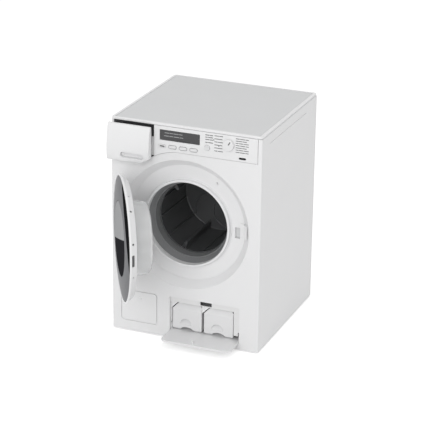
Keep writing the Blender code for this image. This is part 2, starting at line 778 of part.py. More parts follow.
def side_panel(name, side):
    """A flat side with a fine groove near its top and a screw boss at its rear edge."""
    inner, outer = sorted((side * INNER_X, side * HALF_WIDTH))
    panel = box(
        name, (inner, FRONT_INSIDE + FIT, UNDERSIDE), (outer, BACK_INSIDE - FIT, PANEL_TOP), WHITE
    )
    height = CABINET_HEIGHT - GROOVE_DROP
    face = side * (HALF_WIDTH - GROOVE_DEPTH)
    beyond = side * (HALF_WIDTH + OVERRUN)
    groove = box(
        name + "_groove",
        (min(face, beyond), FRONT + GROOVE_FRONT_INSET, height - GROOVE_WIDTH / 2),
        (max(face, beyond), BACK - GROOVE_BACK_INSET, height + GROOVE_WIDTH / 2),
    )
    boss_inner = side * (SCREW_X - BACK_BOSS_HALF_WIDTH)
    boss_outer = side * (INNER_X + LAP)
    boss = box(
        name + "_boss",
        (min(boss_inner, boss_outer), BACK_INSIDE - FIT - BACK_BOSS_DEPTH,
         SCREW_HEIGHT - BACK_BOSS_HALF_WIDTH),
        (max(boss_inner, boss_outer), BACK_INSIDE - FIT, SCREW_HEIGHT + BACK_BOSS_HALF_WIDTH),
    )
    hole = rod(
        name + "_screw_hole",
        (side * SCREW_X, BACK - SCREW_LENGTH - FIT, SCREW_HEIGHT),
        (side * SCREW_X, BACK, SCREW_HEIGHT),
        SCREW_RADIUS + SCREW_CLEAR,
    )
    join(panel, boss)
    return cut(panel, groove, hole)


def base_plate():
    """The floor of the cabinet, with a seat for each foot."""
    edge = INNER_X - FIT
    floor = box(
        "base_plate", (-edge, FRONT_INSIDE + FIT, UNDERSIDE), (edge, BACK_INSIDE - FIT, BASE_TOP), WHITE
    )
    for number, (x, y) in enumerate(foot_places()):
        seat = rod(
            f"foot_seat_{number}", (x, y, -OVERRUN), (x, y, UNDERSIDE + FOOT_SEAT),
            FOOT_RADIUS + FIT, sides=MEDIUM_SIDES,
        )
        cut(floor, seat)
    return floor


def foot_places():
    x = HALF_WIDTH - FOOT_INSET
    front = FRONT + FOOT_INSET
    back = BACK - FOOT_INSET
    return [(-x, front), (x, front), (-x, back), (x, back)]


def foot(number, x, y):
    """A round rubber foot, most of it sunk in its seat."""
    top = UNDERSIDE + FOOT_SEAT - FIT
    part = rod(f"foot_{number}", (x, y, 0), (x, y, top), FOOT_RADIUS, RUBBER, MEDIUM_SIDES)
    return soften(part, FOOT_EDGE, 1)


def top_cover():
    """The lid of the cabinet: a rim round a shallow seat."""
    low = CABINET_HEIGHT - TOP_THICKNESS
    outline = rounded(-HALF_WIDTH, FRONT, HALF_WIDTH, BACK, TOP_CORNER)
    cover = plate("top_cover", [outline], low, CABINET_HEIGHT, WHITE, FACE_UP)
    soften(cover, TOP_EDGE)
    seat = plate(
        "top_seat", [inlay_outline(0)], CABINET_HEIGHT - TOP_INLAY_SINK, CABINET_HEIGHT + OVERRUN,
        None, FACE_UP,
    )
    return cut(cover, seat)


def inlay_outline(inset):
    edge = TOP_RIM + inset
    return rounded(
        -HALF_WIDTH + edge, FRONT + edge, HALF_WIDTH - edge, BACK - edge, TOP_CORNER - inset
    )


def top_inlay():
    """The grey sheet let into the lid."""
    low = CABINET_HEIGHT - TOP_INLAY_SINK + FIT
    return plate(
        "top_inlay", [inlay_outline(FIT)], low, low + TOP_INLAY_THICKNESS, PALE_GREY, FACE_UP
    )


def back_panel():
    """The rear wall, with the loudspeaker's slots, the battery opening and screw holes."""
    panel = box(
        "back_panel", (-HALF_WIDTH, BACK_INSIDE, UNDERSIDE), (HALF_WIDTH, BACK, PANEL_TOP), WHITE
    )
    soften(panel, TOP_EDGE, 1)
    opening = box(
        "battery_opening",
        (-BOX_INNER_HALF, BACK_INSIDE - OVERRUN, BOX_INNER_BOTTOM),
        (BOX_INNER_HALF, BACK + OVERRUN, BOX_BOSS_TOP),
    )
    cut(panel, opening)
    for number in range(GRILLE_SLOTS):
        cut(panel, grille_slot(number))
    for side in (-1, 1):
        hole = screw_hole(f"back_hole_{side}", side * SCREW_X, SCREW_HEIGHT, WALL)
        cut(panel, hole)
    return panel


def grille_slot(number):
    """One slot of a round grille: longest in the middle."""
    offset = (number - (GRILLE_SLOTS - 1) / 2) * GRILLE_PITCH
    half = math.sqrt(SPEAKER_CONE_RADIUS**2 - offset**2)
    outline = stadium((SPEAKER_X, SPEAKER_HEIGHT + offset), 2 * half, GRILLE_SLOT_WIDTH)
    return plate(f"grille_slot_{number}", [outline], BACK_INSIDE - OVERRUN, BACK + OVERRUN)


def screw_hole(name, x, height, depth):
    """A clearance hole with a conical seat, from the rear face inwards."""
    shank = SCREW_RADIUS + SCREW_CLEAR
    head = SCREW_HEAD_RADIUS + SCREW_CLEAR
    profile = [
        (0, BACK - depth - OVERRUN),
        (shank, BACK - depth - OVERRUN),
        (shank, BACK - SCREW_HEAD_HEIGHT - SCREW_CLEAR),
        (head, BACK - SCREW_CLEAR),
        (head, BACK + OVERRUN),
        (0, BACK + OVERRUN),
    ]
    return turned(name, profile, None, SMALL_SIDES, (x, 0, height))


def screw(name, x, height):
    """A countersunk screw with a cross in its head, driven in from the rear."""
    profile = [
        (0, BACK - SCREW_LENGTH),
        (SCREW_RADIUS, BACK - SCREW_LENGTH),
        (SCREW_RADIUS, BACK - SCREW_HEAD_HEIGHT),
        (SCREW_HEAD_RADIUS, BACK - SCREW_CLEAR),
        (0, BACK - SCREW_CLEAR),
    ]
    part = turned(name, profile, STEEL, SMALL_SIDES, (x, 0, height))
    long = SCREW_CROSS_LENGTH / 2
    short = SCREW_CROSS_WIDTH / 2
    depth = BACK - SCREW_CLEAR - SCREW_CROSS_DEPTH
    for word, across, along in (("wide", long, short), ("tall", short, long)):
        slot = box(
            f"{name}_{word}", (x - across, depth, height - along),
            (x + across, BACK + OVERRUN, height + along),
        )
        cut(part, slot)
    return part


# Front


def ring_edge(radius, height):
    """How far to the side a circle about the drum's axis lies at a height, none where it lies below."""
    return math.sqrt(max(0, radius**2 - (height - AXIS_HEIGHT) ** 2))


def ring_angle(radius, x):
    """The angle at which a circle about the drum's axis reaches a place to the side."""
    return math.acos(x / radius)


def front_outline():
    """The front wall, cut away at the top for the control panel and the drawer."""
    drawer_edge = DRAWER_BOTTOM - FIT
    fascia_edge = FASCIA_BOTTOM - FIT
    strip = FASCIA_RIGHT + FIT
    radius = FASCIA_ARC_RADIUS - FIT
    start = ring_angle(radius, -ring_edge(radius, fascia_edge))
    end = ring_angle(radius, -ring_edge(radius, drawer_edge))
    return (
        [(-HALF_WIDTH, UNDERSIDE), (HALF_WIDTH, UNDERSIDE), (HALF_WIDTH, PANEL_TOP)]
        + [(strip, PANEL_TOP)]
        + [(strip, fascia_edge)]
        + arc((0, AXIS_HEIGHT), radius, start, end)
        + [(-HALF_WIDTH, drawer_edge)]
    )


def front_panel():
    """The moulded front: a wall with a round dish, a raised lip and a recess for the flap."""
    recess = rounded(RECESS_LEFT, RECESS_BOTTOM, RECESS_RIGHT, RECESS_TOP, RECESS_CORNER)
    panel = plate("front_panel", [front_outline(), recess], FRONT, FRONT_INSIDE, WHITE)
    round_front_corners(panel.data)
    blank = turned("dish_blank", dish_blank_profile())
    cavity = turned("dish_cavity", dish_cavity_profile())
    join(panel, blank)
    cut(panel, cavity, *hinge_slots(), catch_slot(), switch_hole(), cover_groove())
    return join(panel, cover_dot())


def round_front_corners(mesh):
    """Rounds the two upright outer edges of the front wall."""
    shape = bmesh.new()
    shape.from_mesh(mesh)
    face = max(v.co.z for v in shape.verts)
    wide = HALF_WIDTH - LAP
    edges = [
        e for e in shape.edges
        if all(abs(v.co.x) > wide and v.co.z > face - LAP for v in e.verts)
        and e.verts[0].co.x * e.verts[1].co.x > 0
    ]
    bmesh.ops.bevel(
        shape, geom=edges, offset=FRONT_CORNER, offset_type="OFFSET", segments=3, profile=0.5,
        affect="EDGES",
    )
    shape.to_mesh(mesh)
    shape.free()


def dish_blank_profile():
    """The solid that the dish is hollowed out of, set into the wall from behind."""
    inner = DISH_FLOOR_RADIUS + DISH_RIM
    slope = (DISH_RADIUS - DISH_FLOOR_RADIUS) / DISH_DEPTH
    outer = inner + slope * (DISH_BACK - FRONT - LAP)
    return [(0, FRONT + LAP), (outer, FRONT + LAP), (inner, DISH_BACK), (0, DISH_BACK)]


def dish_cavity_profile():
    """The hollow of the dish and of the drum's opening, which leaves the lip standing."""
    lip_top = DISH_FLOOR - LIP_HEIGHT
    slope = (DISH_RADIUS - DISH_FLOOR_RADIUS) / DISH_DEPTH
    lip_outer = OPENING_RADIUS + LIP_WIDTH
    return [
        (0, DISH_BACK + OVERRUN),
        (OPENING_RADIUS, DISH_BACK + OVERRUN),
        (OPENING_RADIUS, lip_top + LIP_SLOPE),
        (OPENING_RADIUS + LIP_SLOPE, lip_top),
        (lip_outer - LIP_SLOPE, lip_top),
        (lip_outer, DISH_FLOOR),
        (DISH_FLOOR_RADIUS, DISH_FLOOR),
        (DISH_RADIUS + slope * OVERRUN, FRONT - OVERRUN),
        (0, FRONT - OVERRUN),
    ]


def hinge_slots():
    """The path of the door's curved hinge arm through the dish, and of the arm's spoke."""
    half = ARM_HALF_HEIGHT + RUN
    low = AXIS_HEIGHT - half
    high = AXIS_HEIGHT + half
    line = arc(PIVOT[:2], ARM_RADIUS, ARM_START_ANGLE - ARM_SWING_SPARE, ARM_END_ANGLE, 2 * ARC_STEPS)
    path = band(line, ARM_THICKNESS + 2 * ARM_CUT_GAP)
    sweep = plate("hinge_sweep", [path], low, high, None, FACE_UP)
    reach = PIVOT_X + ARM_RADIUS
    spoke = box(
        "hinge_spoke_slot",
        (PIVOT_X + SPOKE_SLOT_START, PIVOT[1] - SPOKE_SLOT_LOW, low),
        (reach, PIVOT[1] + SPOKE_SLOT_HIGH, high),
    )
    return sweep, spoke


def catch_slot():
    """The shallow hollow in the dish's floor beside the catch."""
    half = CATCH_SLOT_WIDTH / 2
    middle = CATCH_HEIGHT - CATCH_SLOT_DROP
    return box(
        "catch_slot",
        (CATCH_SLOT_INNER, DISH_FLOOR - LAP, middle - half),
        (CATCH_SLOT_OUTER, DISH_FLOOR + CATCH_SLOT_DEPTH, middle + half),
    )


def switch_hole():
    return rod(
        "switch_hole",
        (SWITCH_X, DISH_FLOOR - OVERRUN, SWITCH_HEIGHT),
        (SWITCH_X, DISH_BACK + OVERRUN, SWITCH_HEIGHT),
        SWITCH_PIN_RADIUS + FIT,
    )


def cover_groove():
    """The groove that draws a false filter door on the front."""
    outer = rounded(COVER_LEFT, COVER_BOTTOM, COVER_RIGHT, COVER_TOP, COVER_CORNER)
    inner = rounded(
        COVER_LEFT + COVER_GROOVE, COVER_BOTTOM + COVER_GROOVE, COVER_RIGHT - COVER_GROOVE,
        COVER_TOP - COVER_GROOVE, COVER_CORNER - COVER_GROOVE,
    )
    return plate("cover_groove", [outer, inner], FRONT - OVERRUN, FRONT + COVER_GROOVE_DEPTH)


def cover_dot():
    """The small round button on the false filter door."""
    centre = ((COVER_LEFT + COVER_RIGHT) / 2, 0, COVER_TOP - KNOB_DOT_DROP)
    profile = [
        (0, FRONT - KNOB_DOT_PROUD),
        (KNOB_DOT_RADIUS / 2, FRONT - KNOB_DOT_PROUD),
        (KNOB_DOT_RADIUS, FRONT),
        (KNOB_DOT_RADIUS, FRONT + LAP),
        (0, FRONT + LAP),
    ]
    return turned("cover_dot", profile, None, SMALL_SIDES, centre)


# Drum and seal


def seal_collar():
    """The grey funnel between the front and the drum, with a seam part way down."""
    top = DISH_BACK + FIT
    seam = FRONT + COLLAR_SEAM_DEPTH
    end = DRUM_FRONT - DRUM_GAP
    outer = OPENING_RADIUS + COLLAR_FLANGE
    neck = OPENING_RADIUS + COLLAR_WALL
    seam_out = COLLAR_SEAM_RADIUS + COLLAR_WALL
    end_out = COLLAR_END_RADIUS + COLLAR_WALL
    profile = [
        (OPENING_RADIUS, top),
        (outer, top),
        (outer, top + COLLAR_WALL),
        (neck, top + COLLAR_WALL),
        (seam_out, seam + COLLAR_WALL),
        (end_out, end),
        (COLLAR_END_RADIUS, end),
        (COLLAR_SEAM_RADIUS - COLLAR_SEAM_STEP, seam),
        (COLLAR_SEAM_RADIUS, seam),
    ]
    return turned("seal_collar", profile, COLLAR_GREY)


def drum():
    """The drum: a can with a rolled mouth, twelve ribs, and curved ridges on its back."""
    inner = DRUM_RADIUS - DRUM_WALL
    back_face = DRUM_REAR - DRUM_BACK
    socket = SHAFT_RADIUS + FIT
    profile = [
        (0, back_face),
        (inner - DRUM_FILLET, back_face),
        (inner, back_face - DRUM_FILLET),
        (inner, DRUM_FRONT + DRUM_RIM + DRUM_FILLET),
        (DRUM_MOUTH_RADIUS, DRUM_FRONT + DRUM_RIM),
        (DRUM_MOUTH_RADIUS, DRUM_FRONT + DRUM_RIM_EDGE),
        (DRUM_MOUTH_RADIUS + DRUM_RIM_EDGE, DRUM_FRONT),
        (DRUM_RADIUS - DRUM_RIM_EDGE, DRUM_FRONT),
        (DRUM_RADIUS, DRUM_FRONT + DRUM_RIM_EDGE),
        (DRUM_RADIUS, DRUM_REAR - DRUM_FILLET),
        (DRUM_RADIUS - DRUM_FILLET, DRUM_REAR),
        (HUB_RADIUS, DRUM_REAR),
        (HUB_RADIUS, HUB_END),
        (socket, HUB_END),
        (socket, DRUM_REAR),
        (0, DRUM_REAR),
    ]
    part = turned("drum", profile, DRUM_GREY, DRUM_SIDES)
    return join(part, drum_ribs(inner, back_face), drum_ridges(inner, back_face))


def drum_ribs(inner, back_face):
    """Fine ribs along the wall, every fourth one a tall paddle."""
    shape = bmesh.new()
    low = DRUM_FRONT + DRUM_RIM + RIB_FRONT_GAP
    high = back_face - RIB_BACK_GAP
    for number in range(DRUM_RIBS):
        paddle = number % DRUM_PADDLE_EVERY == 0
        height = PADDLE_HEIGHT if paddle else RIB_HEIGHT
        width = PADDLE_WIDTH if paddle else RIB_WIDTH
        foot_radius = inner + LAP
        tip_radius = inner - height
        made = bmesh.ops.create_cube(shape, size=1)["verts"]
        angle = DRUM_FIRST_RIB_ANGLE + number * 2 * math.pi / DRUM_RIBS
        for vert in made:
            radius = foot_radius if vert.co.x > 0 else tip_radius
            half = width / 2 * (1 if vert.co.x > 0 else PADDLE_TIP_SHARE)
            side = half if vert.co.y > 0 else -half
            place = -high if vert.co.z > 0 else -low
            vert.co.x = radius * math.cos(angle) - side * math.sin(angle)
            vert.co.y = radius * math.sin(angle) + side * math.cos(angle)
            vert.co.z = place
    bmesh.ops.recalc_face_normals(shape, faces=shape.faces)
    mesh = bpy.data.meshes.new("drum_ribs")
    shape.to_mesh(mesh)
    shape.free()
    return add_object("drum_ribs", mesh, AXIS, FACE_FRONT, None)


def drum_ridges(inner, back_face):
    """The curved ridges that fan out over the drum's back."""
    loops = []
    outer = inner - RIDGE_END_GAP
    for number in range(RIDGES):
        start = number * 2 * math.pi / RIDGES
        line = []
        for step in range(ARC_STEPS + 1):
            share = step / ARC_STEPS
            radius = RIDGE_INNER_RADIUS + (outer - RIDGE_INNER_RADIUS) * share
            angle = start + RIDGE_SWEEP * share**2
            line.append((radius * math.cos(angle), AXIS_HEIGHT + radius * math.sin(angle)))
        loops.append(band(line, RIDGE_WIDTH))
    return plate("drum_ridges", loops, back_face - RIDGE_HEIGHT, back_face + LAP)


def drum_shaft():
    start = DRUM_REAR + FIT
    end = GEAR_BACK + SHAFT_TAIL
    return rod(
        "drum_shaft", (0, start, AXIS_HEIGHT), (0, end, AXIS_HEIGHT), SHAFT_RADIUS, STEEL,
        MEDIUM_SIDES,
    )


def bearing_bush():
    """A bronze sleeve with a thin head, which the drum's shaft turns in."""
    bore = SHAFT_RADIUS + BUSH_RUN
    outer = bore + BUSH_WALL
    front = BULKHEAD_FRONT - BOSS_REACH
    back = BULKHEAD_BACK + BOSS_REACH
    profile = [
        (bore, front - FIT - BUSH_HEAD_THICKNESS),
        (outer + BUSH_HEAD, front - FIT - BUSH_HEAD_THICKNESS),
        (outer + BUSH_HEAD, front - FIT),
        (outer, front - FIT),
        (outer, back),
        (bore, back),
    ]
    return turned("bearing_bush", profile, BRONZE, MEDIUM_SIDES)


def bulkhead():
    """The inner wall that carries the drum's bearing and the motor."""
    edge = INNER_X - FIT
    wall = box(
        "bulkhead",
        (-edge, BULKHEAD_FRONT, AXIS_HEIGHT - BULKHEAD_HALF_HEIGHT),
        (edge, BULKHEAD_BACK, AXIS_HEIGHT + BULKHEAD_HALF_HEIGHT),
        OFF_WHITE,
    )
    front = BULKHEAD_FRONT - BOSS_REACH
    back = BULKHEAD_BACK + BOSS_REACH
    boss = rod(
        "bearing_boss", (0, front, AXIS_HEIGHT), (0, back, AXIS_HEIGHT), BOSS_RADIUS,
        sides=MEDIUM_SIDES,
    )
    bore = rod(
        "bearing_bore", (0, front - OVERRUN, AXIS_HEIGHT), (0, back + OVERRUN, AXIS_HEIGHT),
        SHAFT_RADIUS + BUSH_RUN + BUSH_WALL + FIT, sides=MEDIUM_SIDES,
    )
    join(wall, boss)
    return cut(wall, bore)


# Drive


def involute(angle):
    return math.tan(angle) - angle


def gear_outline(teeth, height, phase):
    """Involute teeth about a centre on the cabinet's middle plane."""
    pitch = GEAR_MODULE * teeth / 2
    base = pitch * math.cos(PRESSURE_ANGLE)
    tip = pitch + ADDENDUM_SHARE * GEAR_MODULE
    root = pitch - DEDENDUM_SHARE * GEAR_MODULE
    half_tooth = math.pi / (2 * teeth) - GEAR_BACKLASH / (2 * pitch)
    low = max(base, root)
    radii = [low, (low + tip) / 2, tip]
    flank = []
    for radius in radii:
        lean = involute(PRESSURE_ANGLE) - involute(math.acos(min(1, base / radius)))
        flank.append((radius, half_tooth + lean))
    if root < base:
        flank.insert(0, (root, flank[0][1]))
    points = []
    for tooth in range(teeth):
        middle = phase + 2 * math.pi * tooth / teeth
        points += [(radius, middle - lean) for radius, lean in flank]
        points += [(radius, middle + lean) for radius, lean in reversed(flank)]
    return [(r * math.cos(a), height + r * math.sin(a)) for r, a in points]


def bore_outline(height, radius):
    return arc((0, height), radius, 0, 2 * math.pi, SMALL_SIDES)[:-1]


def drum_gear():
    """The large gear on the drum's shaft."""
    teeth = gear_outline(GEAR_TEETH, AXIS_HEIGHT, -math.pi / 2)
    bore = bore_outline(AXIS_HEIGHT, SHAFT_RADIUS + FIT)
    return plate("drum_gear", [teeth, bore], GEAR_FRONT, GEAR_BACK, GEAR_WHITE)


def pinion():
    """The motor's small gear with its stub of shaft; a gap faces the large gear's tooth."""
    teeth = gear_outline(PINION_TEETH, MOTOR_HEIGHT, math.pi / 2 + math.pi / PINION_TEETH)
    gear = plate("pinion", [teeth], GEAR_FRONT, GEAR_BACK, GEAR_WHITE)
    nose_end = BRACKET_FRONT - FIT
    stub = rod(
        "pinion_stub",
        (0, GEAR_FRONT - MOTOR_SHAFT_NOSE, MOTOR_HEIGHT),
        (0, nose_end, MOTOR_HEIGHT),
        MOTOR_SHAFT_RADIUS,
    )
    return join(gear, stub)


def motor():
    """A small round motor with a nose that sits in its bracket."""
    front = BRACKET_BACK + FIT
    profile = [
        (0, BRACKET_FRONT),
        (MOTOR_NOSE_RADIUS, BRACKET_FRONT),
        (MOTOR_NOSE_RADIUS, front),
        (MOTOR_RADIUS - MOTOR_EDGE, front),
        (MOTOR_RADIUS, front + MOTOR_EDGE),
        (MOTOR_RADIUS, front + MOTOR_LENGTH - MOTOR_EDGE),
        (MOTOR_RADIUS - MOTOR_EDGE, front + MOTOR_LENGTH),
        (MOTOR_NOSE_RADIUS, front + MOTOR_LENGTH),
        (MOTOR_NOSE_RADIUS, front + MOTOR_LENGTH + MOTOR_NOSE_LENGTH),
        (0, front + MOTOR_LENGTH + MOTOR_NOSE_LENGTH),
    ]
    return turned("motor", profile, STEEL, MEDIUM_SIDES, (0, 0, MOTOR_HEIGHT))


def motor_bracket():
    """The bent bracket that holds the motor behind the gears."""
    half = MOTOR_RADIUS + BRACKET_MARGIN
    low = MOTOR_HEIGHT - MOTOR_RADIUS - BRACKET_LEG_GAP
    face = box(
        "motor_bracket", (-half, BRACKET_FRONT, low),
        (half, BRACKET_BACK, MOTOR_HEIGHT + half), DARK_GREY,
    )
    leg = box(
        "bracket_leg", (-half, BULKHEAD_BACK + FIT, low),
        (half, BRACKET_FRONT + LAP, low + BRACKET_THICKNESS),
    )
    hole = rod(
        "bracket_hole",
        (0, BRACKET_FRONT - OVERRUN, MOTOR_HEIGHT),
        (0, BRACKET_BACK + OVERRUN, MOTOR_HEIGHT),
        MOTOR_NOSE_RADIUS + FIT,
        sides=MEDIUM_SIDES,
    )
    join(face, leg)
    return cut(face, hole)


# Door


def door_ring():
    """The white body of the door, a tapered ring with a hinge arm and a catch slot."""
    def at(depth):
        return DOOR_FRONT + depth

    lip_inner = FACE_RADIUS + FIT
    taper_end = DOOR_DEPTH - DOOR_EDGE
    rim_inner = DOOR_BACK_RADIUS - DOOR_RIM_WIDTH
    flange_front = DOOR_FLANGE_DEPTH - DOOR_FLANGE_THICKNESS
    bore = BOWL_RADIUS + FIT
    profile = [
        (lip_inner, at(DOOR_LIP_SET + DOOR_LIP_INNER_SLOPE)),
        (DOOR_RADIUS - DOOR_LIP_SLOPE, at(DOOR_LIP_SET)),
        (DOOR_RADIUS, at(DOOR_LIP_SET + DOOR_LIP_SLOPE)),
        (DOOR_RADIUS, at(DOOR_LIP_SET + DOOR_LIP_SLOPE + DOOR_STRAIGHT)),
        (DOOR_BACK_RADIUS + DOOR_EDGE, at(taper_end)),
        (DOOR_BACK_RADIUS, at(DOOR_DEPTH)),
        (rim_inner, at(DOOR_DEPTH)),
        (rim_inner - DOOR_EDGE, at(DOOR_FLANGE_DEPTH)),
        (bore, at(DOOR_FLANGE_DEPTH)),
        (bore, at(flange_front)),
        (rim_inner + DOOR_EDGE, at(flange_front)),
        (rim_inner + DOOR_EDGE + DOOR_EDGE, at(DOOR_POCKET_FLOOR)),
        (DOOR_POCKET_RADIUS, at(DOOR_POCKET_FLOOR)),
        (lip_inner - DOOR_LEDGE, at(DOOR_POCKET_FLOOR - DOOR_LEDGE)),
        (lip_inner - DOOR_LEDGE, at(DOOR_LEDGE_DEPTH)),
        (lip_inner, at(DOOR_LEDGE_DEPTH)),
    ]
    ring = turned("door_ring", profile, WHITE)
    join(ring, *hinge_arm())
    return cut(ring, eye_hole(), door_slot())


def hinge_arm():
    """An arm curved about the hinge pin, with a spoke and an eye at its inner end."""
    low = AXIS_HEIGHT - ARM_HALF_HEIGHT
    high = AXIS_HEIGHT + ARM_HALF_HEIGHT
    line = arc(PIVOT[:2], ARM_RADIUS, ARM_START_ANGLE, ARM_END_ANGLE, 2 * ARC_STEPS)
    curve = plate("hinge_arm", [band(line, ARM_THICKNESS)], low, high, None, FACE_UP)
    spoke_end = (
        PIVOT_X + ARM_RADIUS * math.cos(ARM_SPOKE_ANGLE),
        PIVOT[1] + ARM_RADIUS * math.sin(ARM_SPOKE_ANGLE),
    )
    spoke = plate(
        "hinge_spoke", [band([PIVOT[:2], spoke_end], ARM_THICKNESS)], low, high, None, FACE_UP
    )
    eye = rod("hinge_eye", (PIVOT_X, PIVOT[1], low), (PIVOT_X, PIVOT[1], high), EYE_RADIUS)
    return curve, spoke, eye


def eye_hole():
    reach = ARM_HALF_HEIGHT + OVERRUN
    return rod(
        "hinge_eye_hole",
        (PIVOT_X, PIVOT[1], AXIS_HEIGHT - reach),
        (PIVOT_X, PIVOT[1], AXIS_HEIGHT + reach),
        HINGE_PIN_RADIUS + FIT,
    )


def door_slot():
    """The slot in the door's edge that faces the catch."""
    taper = (DOOR_RADIUS - DOOR_BACK_RADIUS) / (DOOR_DEPTH - DOOR_LIP_SET - DOOR_LIP_SLOPE)
    surface = DOOR_RADIUS - taper * (DOOR_SLOT_DEPTH - DOOR_LIP_SET - DOOR_LIP_SLOPE)
    middle = DOOR_FRONT + DOOR_SLOT_DEPTH
    return box(
        "door_slot",
        (surface - DOOR_SLOT_SINK, middle - DOOR_SLOT_WIDTH / 2, CATCH_HEIGHT - DOOR_SLOT_LENGTH / 2),
        (DOOR_RADIUS + OVERRUN, middle + DOOR_SLOT_WIDTH / 2, CATCH_HEIGHT + DOOR_SLOT_LENGTH / 2),
    )


def door_face():
    """The silver annulus on the door, slightly domed, with a ledge for the window."""
    hole = WINDOW_RADIUS + FIT
    start = WINDOW_EDGE_SET
    fall = FACE_EDGE_SET - WINDOW_EDGE_SET
    ledge_top = WINDOW_EDGE_SET + WINDOW_THICKNESS + FIT
    ledge_back = ledge_top + WINDOW_LEDGE_THICKNESS
    crown = [
        (hole + (FACE_RADIUS - hole) * reach, DOOR_FRONT + start + fall * drop)
        for reach, drop in FACE_DOME_SHARES
    ]
    edge_back = FACE_EDGE_SET + FACE_SHOULDER + FACE_SHOULDER + FACE_SHOULDER
    profile = (
        [(hole, DOOR_FRONT + ledge_top), (hole, DOOR_FRONT + start)]
        + crown[::-1]
        + [(FACE_RADIUS - FACE_SHOULDER, DOOR_FRONT + FACE_EDGE_SET)]
        + [(FACE_RADIUS, DOOR_FRONT + FACE_EDGE_SET + FACE_SHOULDER)]
        + [(FACE_RADIUS, DOOR_FRONT + edge_back)]
        + [(crown[0][0], crown[0][1] + FACE_THICKNESS)]
        + [(crown[1][0], DOOR_FRONT + ledge_back)]
        + [(hole - WINDOW_LEDGE, DOOR_FRONT + ledge_back)]
        + [(hole - WINDOW_LEDGE, DOOR_FRONT + ledge_top)]
    )
    return turned("door_face", profile, SILVER)


def door_window():
    """The smoked disc in the middle of the door."""
    crown = [
        (WINDOW_RADIUS * reach, DOOR_FRONT + WINDOW_EDGE_SET * drop)
        for reach, drop in WINDOW_DOME_SHARES
    ]
    back = DOOR_FRONT + WINDOW_EDGE_SET + WINDOW_THICKNESS
    profile = (
        [(0, back), (WINDOW_RADIUS, back), (WINDOW_RADIUS, DOOR_FRONT + WINDOW_EDGE_SET)]
        + crown
        + [(0, DOOR_FRONT)]
    )
    return turned("door_window", profile, SMOKED)


def door_bowl():
    """The clear bowl behind the window, held by its flange."""
    flange_back = DOOR_FRONT + DOOR_FLANGE_DEPTH - DOOR_FLANGE_THICKNESS - FIT
    flange_front = flange_back - BOWL_FLANGE_THICKNESS
    end = DOOR_FRONT + BOWL_END_DEPTH
    profile = [
        (0, end),
        (BOWL_END_RADIUS - BOWL_CORNER, end),
        (BOWL_END_RADIUS, end - BOWL_CORNER),
        (BOWL_RADIUS, flange_back),
        (BOWL_RADIUS + BOWL_FLANGE, flange_back),
        (BOWL_RADIUS + BOWL_FLANGE, flange_front),
        (BOWL_RADIUS - BOWL_WALL, flange_front),
        (BOWL_END_RADIUS - BOWL_WALL, end - BOWL_CORNER),
        (BOWL_END_RADIUS - BOWL_CORNER, end - BOWL_WALL),
        (0, end - BOWL_WALL),
    ]
    return turned("door_bowl", profile, CLEAR)


def hinge_pin():
    reach = ARM_HALF_HEIGHT + RUN + HINGE_EAR
    return rod(
        "door_hinge_pin",
        (PIVOT_X, PIVOT[1], AXIS_HEIGHT - reach),
        (PIVOT_X, PIVOT[1], AXIS_HEIGHT + reach),
        HINGE_PIN_RADIUS,
        STEEL,
    )


def hinge_bracket():
    """The plate behind the front with two ears that hold the hinge pin."""
    start = ARM_HALF_HEIGHT + RUN
    end = start + HINGE_EAR
    half_height = end + HINGE_PLATE_MARGIN
    front = FRONT_INSIDE + FIT
    left = PIVOT_X - HINGE_EAR_HALF_WIDTH
    right = PIVOT_X + HINGE_EAR_HALF_WIDTH
    bracket = box(
        "door_hinge_bracket",
        (left, front, AXIS_HEIGHT - half_height),
        (right, front + HINGE_PLATE_THICKNESS, AXIS_HEIGHT + half_height),
        STEEL,
    )
    for side in (-1, 1):
        low, high = sorted((AXIS_HEIGHT + side * start, AXIS_HEIGHT + side * end))
        ear = box(
            f"hinge_ear_{side}", (left, front + LAP, low), (right, PIVOT[1] + HINGE_EAR_TAIL, high)
        )
        join(bracket, ear)
    reach = end + OVERRUN
    hole = rod(
        "hinge_ear_hole",
        (PIVOT_X, PIVOT[1], AXIS_HEIGHT - reach),
        (PIVOT_X, PIVOT[1], AXIS_HEIGHT + reach),
        HINGE_PIN_RADIUS + FIT,
    )
    return cut(bracket, hole)


def door_catch():
    """The wedge on the dish's sloping wall that the closed door snaps past."""
    run = DISH_RADIUS - DISH_FLOOR_RADIUS
    slant = math.hypot(run, DISH_DEPTH)
    along = (run / slant, -DISH_DEPTH / slant)
    inward = (-DISH_DEPTH / slant, -run / slant)

    def point(up, out):
        return (
            DISH_FLOOR_RADIUS + along[0] * up + inward[0] * out,
            DISH_FLOOR + along[1] * up + inward[1] * out,
        )

    gap = CATCH_WALL_GAP
    face = gap + CATCH_THICKNESS
    foot_up = FIT + FIT
    outline = [
        point(foot_up + gap, gap),
        point(CATCH_REACH, gap),
        point(CATCH_REACH, face - CATCH_THICKNESS / 2),
        point(CATCH_REACH - CATCH_THICKNESS, face),
        point(CATCH_REACH / 2 + CATCH_NUB, face),
        point(CATCH_REACH / 2, face + CATCH_NUB),
        point(CATCH_REACH / 2 - CATCH_NUB, face + CATCH_NUB),
        point(CATCH_REACH / 2 - CATCH_NUB - CATCH_NUB, face),
        point(foot_up + face, face),
    ]
    half = CATCH_WIDTH / 2
    return plate("door_catch", [outline], CATCH_HEIGHT - half, CATCH_HEIGHT + half, WHITE, FACE_UP)


